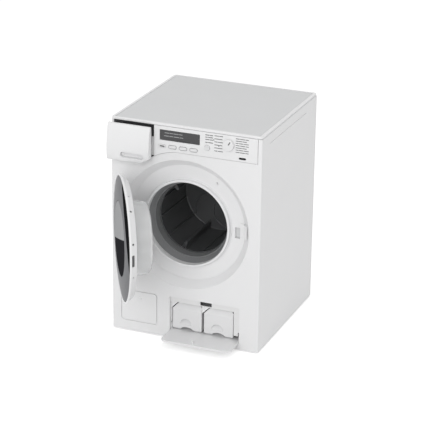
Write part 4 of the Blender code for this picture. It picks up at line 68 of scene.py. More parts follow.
def moulded_surface_group():
    """Colour, roughness and height of moulded plastic: faint cloudiness, fine grain, slight wear."""
    group = bpy.data.node_groups.new("moulded surface", "ShaderNodeTree")
    for title, kind, value in (
        ("Colour", "NodeSocketColor", (0.8, 0.8, 0.8, 1)),
        ("Cloud", "NodeSocketFloat", 0.02),
        ("Roughness", "NodeSocketFloat", 0.4),
        ("Roughness Spread", "NodeSocketFloat", 0.06),
        ("Grain Size", "NodeSocketFloat", 2500.0),
    ):
        socket = group.interface.new_socket(title, in_out="INPUT", socket_type=kind)
        socket.default_value = value
    group.interface.new_socket("Colour", in_out="OUTPUT", socket_type="NodeSocketColor")
    group.interface.new_socket("Roughness", in_out="OUTPUT", socket_type="NodeSocketFloat")
    group.interface.new_socket("Height", in_out="OUTPUT", socket_type="NodeSocketFloat")
    nodes, links = group.nodes, group.links
    given = nodes.new("NodeGroupInput")
    made = nodes.new("NodeGroupOutput")
    place = nodes.new("ShaderNodeTexCoord")

    broad = nodes.new("ShaderNodeTexNoise")
    broad.inputs["Scale"].default_value = 28
    broad.inputs["Detail"].default_value = 3
    links.new(place.outputs["Object"], broad.inputs["Vector"])
    swing = nodes.new("ShaderNodeMath")
    swing.operation = "SUBTRACT"
    swing.inputs[1].default_value = 0.5
    links.new(broad.outputs["Fac"], swing.inputs[0])
    amount = nodes.new("ShaderNodeMath")
    amount.operation = "MULTIPLY_ADD"
    amount.inputs[2].default_value = 1
    links.new(swing.outputs[0], amount.inputs[0])
    links.new(given.outputs["Cloud"], amount.inputs[1])
    tint = nodes.new("ShaderNodeVectorMath")
    tint.operation = "SCALE"
    links.new(given.outputs["Colour"], tint.inputs[0])
    links.new(amount.outputs[0], tint.inputs["Scale"])
    links.new(tint.outputs["Vector"], made.inputs["Colour"])

    fine = nodes.new("ShaderNodeTexNoise")
    fine.inputs["Scale"].default_value = 160
    fine.inputs["Detail"].default_value = 2
    links.new(place.outputs["Object"], fine.inputs["Vector"])
    shift = nodes.new("ShaderNodeMath")
    shift.operation = "SUBTRACT"
    shift.inputs[1].default_value = 0.5
    links.new(fine.outputs["Fac"], shift.inputs[0])
    spread = nodes.new("ShaderNodeMath")
    spread.operation = "MULTIPLY_ADD"
    links.new(shift.outputs[0], spread.inputs[0])
    links.new(given.outputs["Roughness Spread"], spread.inputs[1])
    links.new(given.outputs["Roughness"], spread.inputs[2])
    links.new(spread.outputs[0], made.inputs["Roughness"])

    grain = nodes.new("ShaderNodeTexNoise")
    grain.inputs["Detail"].default_value = 2
    links.new(place.outputs["Object"], grain.inputs["Vector"])
    links.new(given.outputs["Grain Size"], grain.inputs["Scale"])
    links.new(grain.outputs["Fac"], made.inputs["Height"])
    return group


moulded_surface = moulded_surface_group()


def plastic(name, colour, roughness, cloud=0.02, spread=0.06, grain=2500, relief=0.04, coat=0.0,
            shine=0.5):
    """A moulded plastic: the surface group feeds the colour, the roughness and a fine bump."""
    material = bpy.data.materials.new(name)
    material.use_nodes = True
    nodes, links = material.node_tree.nodes, material.node_tree.links
    shader = nodes["Principled BSDF"]
    surface = nodes.new("ShaderNodeGroup")
    surface.node_tree = moulded_surface
    surface.inputs["Colour"].default_value = (*colour, 1)
    surface.inputs["Cloud"].default_value = cloud
    surface.inputs["Roughness"].default_value = roughness
    surface.inputs["Roughness Spread"].default_value = spread
    surface.inputs["Grain Size"].default_value = grain
    bump = nodes.new("ShaderNodeBump")
    bump.inputs["Strength"].default_value = relief
    bump.inputs["Distance"].default_value = 0.0002
    links.new(surface.outputs["Colour"], shader.inputs["Base Color"])
    links.new(surface.outputs["Roughness"], shader.inputs["Roughness"])
    links.new(surface.outputs["Height"], bump.inputs["Height"])
    links.new(bump.outputs["Normal"], shader.inputs["Normal"])
    shader.inputs["Coat Weight"].default_value = coat
    shader.inputs["Coat Roughness"].default_value = 0.15
    shader.inputs["Specular IOR Level"].default_value = shine
    return material


cabinet_white = plastic("cabinet white", (0.78, 0.78, 0.785), 0.36)


def block(name, low, high):
    """A cube primitive between two corners, with its place and size in its mesh."""
    centre = [(a + b) / 2 for a, b in zip(low, high)]
    bpy.ops.mesh.primitive_cube_add(size=1, location=centre, scale=[b - a for a, b in zip(low, high)])
    bpy.ops.object.transform_apply(location=True, rotation=True, scale=True)
    piece = bpy.context.object
    piece.name = name
    return piece


def only(piece):
    """Makes one piece the selected and active one."""
    bpy.ops.object.select_all(action="DESELECT")
    piece.select_set(True)
    bpy.context.view_layer.objects.active = piece


def edges_where(piece, test):
    """In edit mode, selects the edges whose two ends pass the test."""
    bpy.ops.object.mode_set(mode="OBJECT")
    for face in piece.data.polygons:
        face.select = False
    for vert in piece.data.vertices:
        vert.select = False
    for edge in piece.data.edges:
        a, b = (piece.data.vertices[n].co for n in edge.vertices)
        edge.select = test(a, b)
    bpy.context.tool_settings.mesh_select_mode = (False, True, False)
    bpy.ops.object.mode_set(mode="EDIT")


def faces_where(piece, test):
    """In edit mode, selects the faces that pass the test of centre and normal."""
    bpy.ops.object.mode_set(mode="OBJECT")
    for vert in piece.data.vertices:
        vert.select = False
    for edge in piece.data.edges:
        edge.select = False
    for face in piece.data.polygons:
        face.select = test(face.center, face.normal)
    bpy.ops.object.mode_set(mode="EDIT")
    bpy.ops.mesh.select_mode(type="FACE")


def round_edges(piece, amount, segments, test=lambda a, b: True):
    """Bevels the edges that pass the test."""
    only(piece)
    edges_where(piece, test)
    bpy.ops.mesh.bevel(offset=amount, segments=segments, profile=0.5, affect="EDGES")
    bpy.ops.mesh.select_all(action="SELECT")
    bpy.ops.mesh.remove_doubles(threshold=0.000006)
    bpy.ops.mesh.dissolve_degenerate(threshold=0.000002)
    bpy.ops.object.mode_set(mode="OBJECT")
    return piece


def carve(piece, *tools, operation="DIFFERENCE"):
    """Cuts tools out of a piece, or joins them to it, and removes them."""
    for tool in tools:
        only(piece)
        step = piece.modifiers.new("carve", "BOOLEAN")
        step.operation = operation
        step.object = tool
        step.solver = "EXACT"
        bpy.ops.object.modifier_apply(modifier=step.name)
        bpy.data.objects.remove(tool, do_unlink=True)
    return piece


def fit(piece, body, material, slot, *nodes, angle=32):
    """Smooths a finished piece, gives it its material and sets it on its body."""
    only(piece)
    bpy.ops.object.shade_smooth_by_angle(angle=math.radians(angle))
    step = piece.modifiers.new("even shading", "WEIGHTED_NORMAL")
    step.keep_sharp = True
    bpy.ops.object.modifier_apply(modifier=step.name)
    piece.data.materials.clear()
    piece.data.materials.append(material)
    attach(piece, body)
    if nodes:
        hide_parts(*nodes)
    bpy.ops.object.select_all(action="DESELECT")
    return piece


for side, word in ((-1, "left"), (1, "right")):
    low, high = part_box(word + "_side_panel")
    outer = side * width / 2
    inner = side * (width / 2 - wall)
    panel = block(word + "_side", (min(outer, inner), low.y, low.z), (max(outer, inner), high.y, high.z))
    round_edges(panel, 0.0003, 2)
    groove = block(
        "side_groove",
        (outer - groove_depth, groove_front, groove_z - 0.00045),
        (outer + groove_depth, groove_rear, groove_z + 0.00045),
    )
    round_edges(groove, 0.0003, 3)
    screw_x = side * (width / 2 - screw_inset)
    screw_z = panel_top - screw_drop
    boss_ends = (screw_x - side * boss_half, inner + side * 0.0005)
    boss = block(
        "side_boss",
        (min(boss_ends), high.y - boss_length, screw_z - boss_half),
        (max(boss_ends), high.y, screw_z + boss_half),
    )
    bpy.ops.mesh.primitive_cylinder_add(
        vertices=32, radius=0.0014, depth=0.0186, location=(screw_x, back, screw_z),
        rotation=(math.pi / 2, 0, 0),
    )
    bpy.ops.object.transform_apply(location=True, rotation=True, scale=True)
    hole = bpy.context.object
    carve(panel, boss, operation="UNION")
    carve(panel, groove, hole)
    fit(panel, "cabinet", cabinet_white, "white_plastic", word + "_side_panel")

# Feet. Four round rubber pads pushed into seats under the floor; each has a small dish and a
# rounded rim where it meets the table.

foot_rubber = plastic("foot rubber", (0.07, 0.07, 0.07), 0.78, 0.1, 0.1, 1800, 0.3)


def chain(points):
    """Draws a line of vertices by extruding one vertex from point to point."""
    bpy.ops.mesh.primitive_plane_add(size=0.001, location=points[0])
    bpy.ops.object.transform_apply(location=True, rotation=True, scale=True)
    bpy.ops.object.mode_set(mode="EDIT")
    bpy.ops.mesh.select_mode(type="VERT")
    bpy.ops.mesh.select_all(action="SELECT")
    bpy.ops.mesh.merge(type="CENTER")
    for before, after in zip(points, points[1:]):
        step = [b - a for a, b in zip(before, after)]
        bpy.ops.mesh.extrude_region_move(TRANSFORM_OT_translate={"value": step})
    return bpy.context.object


def rounded_corners(points, radii, steps=6):
    """An open or closed line of points with its corners turned into arcs."""
    rounded = []
    count = len(points)
    for n, (point, radius) in enumerate(zip(points, radii)):
        here = Vector(point)
        before = Vector(points[n - 1]) - here
        after = Vector(points[(n + 1) % count]) - here
        half = before.angle(after) / 2 if before.length and after.length else math.pi / 2
        if not radius or half > math.radians(89):
            rounded.append(tuple(here))
            continue
        reach = radius / math.tan(half)
        reach = min(reach, before.length * 0.49, after.length * 0.49)
        bend = reach * math.tan(half)
        middle = here + (before.normalized() + after.normalized()).normalized() * (bend / math.sin(half))
        start = here + before.normalized() * reach - middle
        end = here + after.normalized() * reach - middle
        turn = start.angle(end)
        for step in range(steps + 1):
            share = step / steps
            arm = (start * math.sin((1 - share) * turn) + end * math.sin(share * turn)) / math.sin(turn)
            rounded.append(tuple(middle + arm))
    return rounded


def turned(name, section, centre=(0, 0, 0), axis=(0, 1, 0), sides=96):
    """Spins a section of (radius, distance along the axis) points into a solid or a shell."""
    if axis[1]:
        points = [(centre[0] + r, centre[1] + d, centre[2]) for r, d in section]
    else:
        points = [(centre[0] + r, centre[1], centre[2] + d) for r, d in section]
    if min(r for r, d in section) > 0:
        points.append(points[0])
    piece = chain(points)
    bpy.ops.mesh.select_all(action="SELECT")
    bpy.ops.mesh.spin(steps=sides, angle=2 * math.pi, center=centre, axis=axis)
    bpy.ops.mesh.select_all(action="SELECT")
    bpy.ops.mesh.remove_doubles(threshold=0.000002)
    bpy.ops.mesh.normals_make_consistent(inside=False)
    bpy.ops.object.mode_set(mode="OBJECT")
    piece.name = name
    return piece


foot_section = rounded_corners(
    [(0, 0.0004), (0.0045, 0.0004), (0.0049, 0), (0.007, 0), (0.007, 0.0025), (0, 0.0025)],
    [0, 0.0003, 0.0003, 0.0006, 0.0003, 0],
)
for number in range(1, 5):
    low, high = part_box(f"foot_{number}")
    place = ((low.x + high.x) / 2, (low.y + high.y) / 2, 0)
    foot = turned(f"rubber_foot_{number}", foot_section, place, (0, 0, 1), 48)
    fit(foot, "cabinet", foot_rubber, "foot_rubber", f"foot_{number}")

# Lid. A white moulding with rounded corners that lies on the panels; a thin sheet of grey plastic
# is let into the seat inside its rim.

lid_grey = plastic("lid grey", (0.63, 0.635, 0.64), 0.5, 0.03, 0.08, 2200, 0.08)
lid_corner = 0.004
lid_rim = 0.003
seat_depth = 0.0013
low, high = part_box("top_cover")
lid = block("lid", low, high)
round_edges(lid, lid_corner, 8, lambda a, b: abs(a.z - b.z) > 0.001)
round_edges(lid, 0.0006, 3, lambda a, b: abs(a.z - b.z) < 0.00001)
only(lid)
faces_where(lid, lambda centre, normal: normal.z > 0.99 and centre.z > high.z - 0.0001)
bpy.ops.mesh.inset(thickness=lid_rim)
bpy.ops.mesh.extrude_region_move(TRANSFORM_OT_translate={"value": (0, 0, -seat_depth)})
bpy.ops.object.mode_set(mode="OBJECT")
fit(lid, "cabinet", cabinet_white, "white_plastic", "top_cover")

low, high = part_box("top_inlay")
inlay = block("lid_inlay", low, high)
round_edges(inlay, lid_corner - gap, 8, lambda a, b: abs(a.z - b.z) > 0.0005)
round_edges(inlay, 0.00025, 2, lambda a, b: min(a.z, b.z) > high.z - 0.00001)
fit(inlay, "cabinet", lid_grey, "pale_grey_plastic", "top_inlay")

# Front. One large white moulding: a flat wall with a round dish for the door, a raised lip round
# the drum's opening, slots for the hinge and the catch, and an opening for the lower flap.

axis_z = 0.143
dish_radius = 0.0773
dish_floor_radius = 0.069
dish_depth = 0.0095
dish_floor = front + dish_depth
dish_back = dish_floor + 0.0022
opening_radius = 0.0495
lip_radius = 0.0521
panel_low = 0.2285
drawer_low = 0.2138
dish_cut_radius = 0.0865


def drawn(name, points, low, high, along="Y"):
    """A solid with a drawn outline: a vertex is extruded along it, filled, and given thickness."""
    if along == "Y":
        places = [(a, low, b) for a, b in points]
        step = (0, high - low, 0)
    elif along == "X":
        places = [(low, a, b) for a, b in points]
        step = (high - low, 0, 0)
    else:
        places = [(a, b, low) for a, b in points]
        step = (0, 0, high - low)
    piece = chain(places + [places[0]])
    bpy.ops.mesh.select_all(action="SELECT")
    bpy.ops.mesh.remove_doubles(threshold=0.000002)
    bpy.ops.mesh.select_all(action="SELECT")
    bpy.ops.mesh.edge_face_add()
    bpy.ops.mesh.extrude_region_move(TRANSFORM_OT_translate={"value": step})
    bpy.ops.mesh.select_all(action="SELECT")
    bpy.ops.mesh.normals_make_consistent(inside=False)
    bpy.ops.object.mode_set(mode="OBJECT")
    piece.name = name
    return piece


def arc(centre, radius, start, end, steps):
    """Points on an arc between two angles in degrees."""
    angles = [math.radians(start + (end - start) * n / steps) for n in range(steps + 1)]
    return [(centre[0] + radius * math.cos(a), centre[1] + radius * math.sin(a)) for a in angles]


def ring_angle(radius, x=None, z=None):
    """The angle in degrees at which a ring about the drum's axis meets a place or a height."""
    if x is not None:
        return math.degrees(math.acos(x / radius))
    return 180 - math.degrees(math.asin((z - axis_z) / radius))


side_x = width / 2
fascia_edge = panel_low - gap
drawer_edge = drawer_low - gap
tongue_radius = dish_cut_radius - gap
front_outline = (
    [(-side_x, 0.001), (side_x, 0.001), (side_x, panel_top), (0.0863, panel_top), (0.0863, fascia_edge)]
    + arc(
        (0, axis_z), tongue_radius,
        ring_angle(tongue_radius, z=fascia_edge), ring_angle(tongue_radius, z=drawer_edge), 16,
    )
    + [(-side_x, drawer_edge)]
)
shell = drawn("front_shell", front_outline, front, front + wall)
round_edges(
    shell, 0.0017, 5,
    lambda a, b: a.y < front + 0.0001 and b.y < front + 0.0001 and abs(a.x - b.x) < 0.0001
    and abs(a.x) > side_x - 0.0001,
)
round_edges(
    shell, 0.0003, 2,
    lambda a, b: a.y < front + 0.0001 and b.y < front + 0.0001 and abs(a.x) < 0.0889 and abs(b.x) < 0.0889,
)
slope = (dish_radius - dish_floor_radius) / dish_depth
blank_radius = dish_floor_radius + 0.0022
blank = turned(
    "dish_blank",
    [
        (0, front + 0.0005),
        (blank_radius + slope * (dish_back - front - 0.0005), front + 0.0005),
        (blank_radius, dish_back),
        (0, dish_back),
    ],
    (0, 0, axis_z), sides=160,
)
lip_top = dish_floor - 0.0055
cavity_section = rounded_corners(
    [
        (0, dish_back + 0.001),
        (0.0503, dish_back + 0.001),
        (opening_radius, dish_back - 0.0006),
        (opening_radius, lip_top),
        (lip_radius, lip_top),
        (lip_radius, dish_floor),
        (0.0532, dish_floor),
        (0.0535, dish_floor + 0.0004),
        (0.0538, dish_floor),
        (dish_floor_radius, dish_floor),
        (dish_radius, front),
        (dish_radius + 0.0012, front - 0.0003),
        (dish_radius + 0.0012, front - 0.002),
        (0, front - 0.002),
    ],
    [0, 0, 0.0008, 0.0009, 0.0009, 0.0005, 0, 0, 0, 0.0016, 0.0009, 0, 0, 0],
)
cavity = turned("dish_cavity", cavity_section, (0, 0, axis_z), sides=160)
carve(shell, blank, operation="UNION")
carve(shell, cavity)

# A false filter door is drawn on the front by a groove, with a small domed button.
filter_left, filter_right = -0.0795, -0.0346
filter_low, filter_high = 0.0134, 0.0516
groove_outline = rounded_corners(
    [(filter_left, filter_low), (filter_right, filter_low), (filter_right, filter_high),
     (filter_left, filter_high)],
    [0.0036] * 4, 10,
)
groove_half = 0.0006


def spread_by(outline, amount):
    """Moves the points of the false door's outline away from its middle, or towards it."""
    middle_x = (filter_left + filter_right) / 2
    middle_z = (filter_low + filter_high) / 2
    return [
        (x + amount * math.copysign(1, x - middle_x), z + amount * math.copysign(1, z - middle_z))
        for x, z in outline
    ]


wide_outline = spread_by(groove_outline, groove_half)
groove = drawn("false_door_groove", wide_outline, front - 0.001, front + 0.0012)
island = drawn("false_door_island", spread_by(groove_outline, -groove_half), front - 0.002, front + 0.002)
carve(groove, island)
carve(shell, groove)

# The hinge arm's path, the catch's slot and the hole of the door switch are moulded through.
pivot = Vector((-0.083, front + 0.0115, axis_z))
arm_radius = 0.016
arm_half = 0.010
room_half = arm_half + 0.0005
arm_path = arc((pivot.x, pivot.y), arm_radius + 0.0018, -86, 98, 30)
arm_path += arc((pivot.x, pivot.y), arm_radius - 0.0018, 98, -86, 30)
arm_room = drawn("arm_room", arm_path, axis_z - room_half, axis_z + room_half, "Z")
spoke_room = block(
    "spoke_room", (pivot.x + 0.0037, pivot.y - 0.00363, axis_z - 0.0101),
    (pivot.x + 0.0155, pivot.y + 0.0057, axis_z + 0.0101),
)
catch_room = block(
    "catch_room", (0.0572, dish_floor - 0.0005, 0.1335), (0.0632, dish_back + 0.001, 0.1465)
)
switch_x, switch_z = 0.0347, 0.195
bpy.ops.mesh.primitive_cylinder_add(
    vertices=40, radius=0.0015, depth=0.006, location=(switch_x, dish_floor, switch_z),
    rotation=(math.pi / 2, 0, 0),
)
bpy.ops.object.transform_apply(location=True, rotation=True, scale=True)
switch_room = bpy.context.object
flap_left, flap_right, flap_top = -0.0184, 0.0672, 0.0521
recess_left, recess_right = flap_left - gap, flap_right + gap
recess_low, recess_high = 0.0076, flap_top + gap
recess_outline = rounded_corners(
    [(recess_left, recess_low), (recess_right, recess_low), (recess_right, recess_high),
     (recess_left, recess_high)],
    [0.0012] * 4,
)
recess = drawn("flap_recess", recess_outline, front - 0.001, front + wall + 0.001)
carve(arm_room, spoke_room, operation="UNION")
carve(shell, arm_room, catch_room, switch_room, recess)
fit(shell, "cabinet", cabinet_white, "white_plastic", "front_panel", angle=28)
button_radius, button_rise = 0.0024, 0.0008
dome_angles = [math.pi / 2 * n / 8 for n in range(9)]
button_section = [(button_radius * math.cos(a), front - button_rise * math.sin(a)) for a in dome_angles]
button_section[-1] = (0, front - button_rise)
false_button = turned(
    "false_door_button", [(0, front + 0.0005), (button_radius, front + 0.0005)] + button_section,
    (-0.0565, 0, 0.0430), sides=40,
)
fit(false_button, "cabinet", cabinet_white, "white_plastic")

# Collar. A grey funnel of soft plastic clipped behind the lip; it leads into the drum and has a
# step part way down where its two halves meet.

collar_grey = plastic("collar grey", (0.2, 0.203, 0.207), 0.38, 0.06, 0.1, 1500, 0.08)
collar_top = dish_back + 0.0003
seam = front + 0.0185
mouth = front + 0.029
collar_end = mouth - 0.0012
collar_section = rounded_corners(
    [
        (opening_radius, collar_top),
        (0.056, collar_top),
        (0.056, collar_top + 0.0014),
        (0.0509, collar_top + 0.0014),
        (0.0466, seam + 0.0014),
        (0.0444, collar_end),
        (0.043, collar_end),
        (0.0445, seam),
        (0.0452, seam),
    ],
    [0.0005, 0.0003, 0.0003, 0.001, 0.001, 0.0004, 0.0004, 0.0002, 0.0002],
    5,
)
collar = turned("collar", collar_section, (0, 0, axis_z), sides=128)
fit(collar, "cabinet", collar_grey, "collar_grey_plastic", "seal_collar")

# Drum. A dark grey moulded can that turns on a steel shaft: a rolled mouth, fine ribs along its
# wall, three tall paddles that lift the toy laundry, and curved ridges on its back.

drum_grey = plastic("drum grey", (0.085, 0.087, 0.09), 0.3, 0.1, 0.1, 1500, 0.05, 0.15)
drum_radius = 0.0463
drum_inside = 0.0446
drum_rear = back - wall - 0.0681
drum_floor = drum_rear - 0.0024
drum_section = rounded_corners(
    [
        (0, drum_floor),
        (drum_inside, drum_floor),
        (drum_inside, mouth + 0.0022),
        (0.0425, mouth + 0.0016),
        (0.0425, mouth),
        (drum_radius, mouth),
        (drum_radius, drum_rear),
        (0.007, drum_rear),
        (0.007, drum_rear + 0.0056),
        (0.0028, drum_rear + 0.0056),
        (0.0028, drum_rear),
        (0, drum_rear),
    ],
    [0, 0.0016, 0.0006, 0.0005, 0.0007, 0.0007, 0.0013, 0.0005, 0.0005, 0, 0, 0],
    5,
)
drum = turned("drum_can", drum_section, (0, 0, axis_z), sides=128)


def turned_to(piece, angle, centre=(0, 0, axis_z), axis="Y"):
    """Turns a finished shape about a line and keeps its place in its mesh."""
    middle = Vector(centre)
    piece.matrix_world = (
        Matrix.Translation(middle) @ Matrix.Rotation(angle, 4, axis) @ Matrix.Translation(-middle)
    )
    only(piece)
    bpy.ops.object.transform_apply(location=True, rotation=True, scale=True)
    return piece


def copy_of(piece, name):
    """A copy with a mesh of its own."""
    twin = piece.copy()
    twin.data = piece.data.copy()
    twin.name = name
    bpy.context.scene.collection.objects.link(twin)
    return twin


rib_start = mouth + 0.0051
rib_end = drum_floor - 0.0008
rib_root = drum_inside + 0.0005
fine_rib = block("fine_rib", (0.0431, rib_start, axis_z - 0.0009), (rib_root, rib_end, axis_z + 0.0009))
round_edges(fine_rib, 0.00055, 4, lambda a, b: max(a.x, b.x) < 0.0432)
tall_rib = drawn(
    "paddle",
    rounded_corners(
        [(0.0361, axis_z - 0.0014), (rib_root, axis_z - 0.0031), (rib_root, axis_z + 0.0031),
         (0.0361, axis_z + 0.0014)],
        [0.0011, 0, 0, 0.0011], 6,
    ),
    rib_start, rib_end,
)
round_edges(tall_rib, 0.0006, 3, lambda a, b: abs(a.y - b.y) < 0.00001 and min(a.x, b.x) < 0.045)
ribs = []
for number in range(12):
    kind = tall_rib if number % 4 == 0 else fine_rib
    ribs.append(turned_to(copy_of(kind, f"rib_{number}"), -math.radians(10 + 30 * number)))
bpy.data.objects.remove(fine_rib, do_unlink=True)
bpy.data.objects.remove(tall_rib, do_unlink=True)
ridge_line = []
for step in range(25):
    share = step / 24
    radius = 0.009 + (0.0416 - 0.009) * share
    turn = math.radians(42) * share**2
    ridge_line.append((radius * math.cos(turn), axis_z + radius * math.sin(turn)))


def strip(points, breadth):
    """The outline of a strip of even breadth along a line."""
    left, right = [], []
    for n, here in enumerate(points):
        run = Vector(points[min(n + 1, len(points) - 1)]) - Vector(points[max(n - 1, 0)])
        side = Vector((-run.y, run.x)).normalized() * breadth / 2
        left.append((here[0] + side.x, here[1] + side.y))
        right.append((here[0] - side.x, here[1] - side.y))
    return left + right[::-1]


ridge = drawn("ridge", strip(ridge_line, 0.0022), drum_floor - 0.0012, drum_floor + 0.0005)
round_edges(ridge, 0.0006, 3, lambda a, b: max(a.y, b.y) < drum_floor - 0.0011)
for number in range(6):
    ribs.append(turned_to(copy_of(ridge, f"ridge_{number}"), -math.radians(60 * number)))
bpy.data.objects.remove(ridge, do_unlink=True)


def joined(pieces):
    """Joins pieces of one material into the first of them."""
    only(pieces[0])
    for piece in pieces:
        piece.select_set(True)
    bpy.ops.object.join()
    return pieces[0]


fit(joined([drum] + ribs), "drum_assembly", drum_grey, "drum_grey_plastic", "drum")

# Door. A white ring with a tapered back, moulded in one piece with a hinge arm that curves about
# a steel pin; a silver face, a smoked window and a clear bowl are clipped into it.

door_front = front - 0.0035
ajar = -math.radians(57.5)
door_white = plastic("door white", (0.76, 0.76, 0.765), 0.3, 0.02, 0.06, 2500, 0.03, 0.1)


def swung(piece):
    """Swings a door piece, modelled shut, to where the door stands ajar."""
    return turned_to(piece, ajar, pivot, "Z")


def on_door(section):
    """Depths behind the door's foremost plane, as places along Y."""
    return [(r, door_front + depth) for r, depth in section]


ring_section = rounded_corners(
    on_door([
        (0.0702, 0.0035),
        (0.0704, 0.0028),
        (0.0714, 0.0028),
        (0.0722, 0.0036),
        (0.0722, 0.0046),
        (0.0666, 0.0107),
        (0.0660, 0.0113),
        (0.0605, 0.0113),
        (0.0599, 0.0071),
        (0.0451, 0.0071),
        (0.0451, 0.0056),
        (0.0611, 0.0056),
        (0.0617, 0.0093),
        (0.0650, 0.0093),
        (0.0661, 0.0075),
        (0.0661, 0.0052),
        (0.0702, 0.0052),
    ]),
    [0.0002, 0.0002, 0.0004, 0.0005, 0.0006, 0.0005, 0.0004, 0.0007, 0.0006, 0.0004, 0.0004, 0.0005,
     0.0008, 0.0006, 0.0003, 0.0003, 0.0003],
    5,
)
door_ring = turned("ring_of_door", ring_section, (0, 0, axis_z), sides=160)


def arm_strip(inner, outer, start, end):
    """The outline of a curved strip about the hinge pin, between two radii and two angles."""
    middle = (pivot.x, pivot.y)
    return arc(middle, outer, start, end, 24) + arc(middle, inner, end, start, 24)


arm_inner, arm_outer = 0.0147, 0.0173
arm_wall = 0.0026
arm_curve = arm_strip(arm_inner, arm_outer, -32, 98)
arm = drawn("arm_curve", arm_curve, axis_z - arm_half, axis_z + arm_half, "Z")
round_edges(arm, 0.0005, 3, lambda a, b: abs(a.z - b.z) < 0.00001)
spoke_turn = math.radians(94)
spoke_end = (
    pivot.x + arm_radius * math.cos(spoke_turn), pivot.y + arm_radius * math.sin(spoke_turn)
)
spoke_outline = strip([(pivot.x, pivot.y), spoke_end], arm_wall)
spoke = drawn("arm_spoke", spoke_outline, axis_z - arm_half, axis_z + arm_half, "Z")
round_edges(spoke, 0.0005, 3, lambda a, b: abs(a.z - b.z) < 0.00001)
eye_bore = 0.0014
eye_section = rounded_corners(
    [(eye_bore, -arm_half), (0.0036, -arm_half), (0.0036, arm_half), (eye_bore, arm_half)],
    [0.0003, 0.0005, 0.0005, 0.0003], 3,
)
eye = turned("arm_eye", eye_section, tuple(pivot), (0, 0, 1), 40)
carve(door_ring, arm, spoke, eye, operation="UNION")
bpy.ops.mesh.primitive_cylinder_add(vertices=40, radius=eye_bore, depth=0.024, location=pivot)
bpy.ops.object.transform_apply(location=True, rotation=True, scale=True)
pin_room = bpy.context.object
slot_outline = rounded_corners(
    [(-0.00675, -0.0015), (0.00675, -0.0015), (0.00675, 0.0015), (-0.00675, 0.0015)], [0.0007] * 4, 4
)
slot_outline = [(door_front + 0.00663 + b, 0.14403 + a) for a, b in slot_outline]
catch_slot = drawn("catch_slot", slot_outline, 0.0678, 0.0740, "X")
carve(door_ring, pin_room, catch_slot)


def rim_dent(angle, radius, depth, place):
    """A small round dent in the door's tapered edge, at an angle about the drum's axis."""
    bpy.ops.mesh.primitive_cylinder_add(
        vertices=24, radius=radius, depth=0.004, location=(place, door_front + depth, axis_z),
        rotation=(0, math.pi / 2, 0),
    )
    bpy.ops.object.transform_apply(location=True, rotation=True, scale=True)
    return turned_to(bpy.context.object, -math.radians(angle))


dents = ((62, 0.0009), (46, 0.0012), (16, 0.0012), (-16, 0.0009))
dent_depth = 0.0070
for angle, radius in dents:
    carve(door_ring, rim_dent(angle, radius, dent_depth, 0.0696))
fit(swung(door_ring), "door", door_white, "white_plastic", "door_ring", angle=30)

# Dark grey pins sit in the dents, and a dark grey pad at the bottom of the catch's slot: painted shade that
# darkens these hollows.
painted_hole_shade = plastic("rim hole painted shade", (0.12, 0.12, 0.123), 0.6, 0.1, 0.1, 1500, 0.05)
pins = [drawn("slot_painted_shade", slot_outline, 0.0676, 0.0681, "X")]
for angle, radius in dents:
    pins.append(rim_dent(angle, radius - 0.0001, dent_depth, 0.0664))
fit(swung(joined(pins)), "door", painted_hole_shade, "dark_grey_plastic", angle=30)

silver = bpy.data.materials.new("silver lacquer")
silver.use_nodes = True
nodes, links = silver.node_tree.nodes, silver.node_tree.links
shader = nodes["Principled BSDF"]
lacquer = nodes.new("ShaderNodeGroup")
lacquer.node_tree = moulded_surface
lacquer.inputs["Colour"].default_value = (0.27, 0.273, 0.28, 1)
lacquer.inputs["Cloud"].default_value = 0.05
lacquer.inputs["Roughness"].default_value = 0.3
lacquer.inputs["Roughness Spread"].default_value = 0.06
lacquer.inputs["Grain Size"].default_value = 3000
flake = nodes.new("ShaderNodeBump")
flake.inputs["Strength"].default_value = 0.05
flake.inputs["Distance"].default_value = 0.0002
links.new(lacquer.outputs["Colour"], shader.inputs["Base Color"])
links.new(lacquer.outputs["Roughness"], shader.inputs["Roughness"])
links.new(lacquer.outputs["Height"], flake.inputs["Height"])
links.new(flake.outputs["Normal"], shader.inputs["Normal"])
shader.inputs["Metallic"].default_value = 0.8
shader.inputs["Specular IOR Level"].default_value = 0.1
shader.inputs["Specular Tint"].default_value = (0.35, 0.35, 0.36, 1)

face_section = rounded_corners(
    on_door([
        (0.0423, 0.0024),
        (0.0423, 0.0007),
        (0.0480, 0.00105),
        (0.0555, 0.0015),
        (0.0615, 0.00215),
        (0.0694, 0.0033),
        (0.0699, 0.0038),
        (0.0699, 0.0047),
        (0.0684, 0.0045),
        (0.0615, 0.00335),
        (0.0396, 0.0035),
        (0.0396, 0.0024),
    ]),
    [0.0001, 0.0004, 0.004, 0.004, 0.003, 0.0005, 0.0004, 0.0002, 0.0006, 0.001, 0.0002, 0.0002],
    4,
)
face = turned("silver_face", face_section, (0, 0, axis_z), sides=160)
fit(swung(face), "door", silver, "silver_plastic", "door_face", angle=30)

# A black crescent is let into the face beside the door's free edge: painted shadow of the gap between face
# and ring.
crescent_reach, crescent_breadth = 0.0680, 0.0145
crescent_low, crescent_high = -14, 84
crescent = arc((0, axis_z), crescent_reach, crescent_low, crescent_high, 32)
for n in range(1, 32):
    turn = math.radians(crescent_high - (crescent_high - crescent_low) * n / 32)
    reach = crescent_reach - crescent_breadth * math.sin(math.pi * n / 32) ** 0.8
    crescent.append((reach * math.cos(turn), axis_z + reach * math.sin(turn)))
inlay_section = on_door([
    (0.0470, 0.00090), (0.0555, 0.00138), (0.0615, 0.00203), (0.0684, 0.00302),
    (0.0684, 0.0036), (0.0615, 0.0026), (0.0555, 0.0020), (0.0470, 0.0015),
])
inlay = turned("crescent_shadow_inlay", inlay_section, (0, 0, axis_z), sides=160)
crescent_shape = drawn("crescent_shape", crescent, door_front - 0.002, door_front + 0.006)
carve(inlay, crescent_shape, operation="INTERSECT")
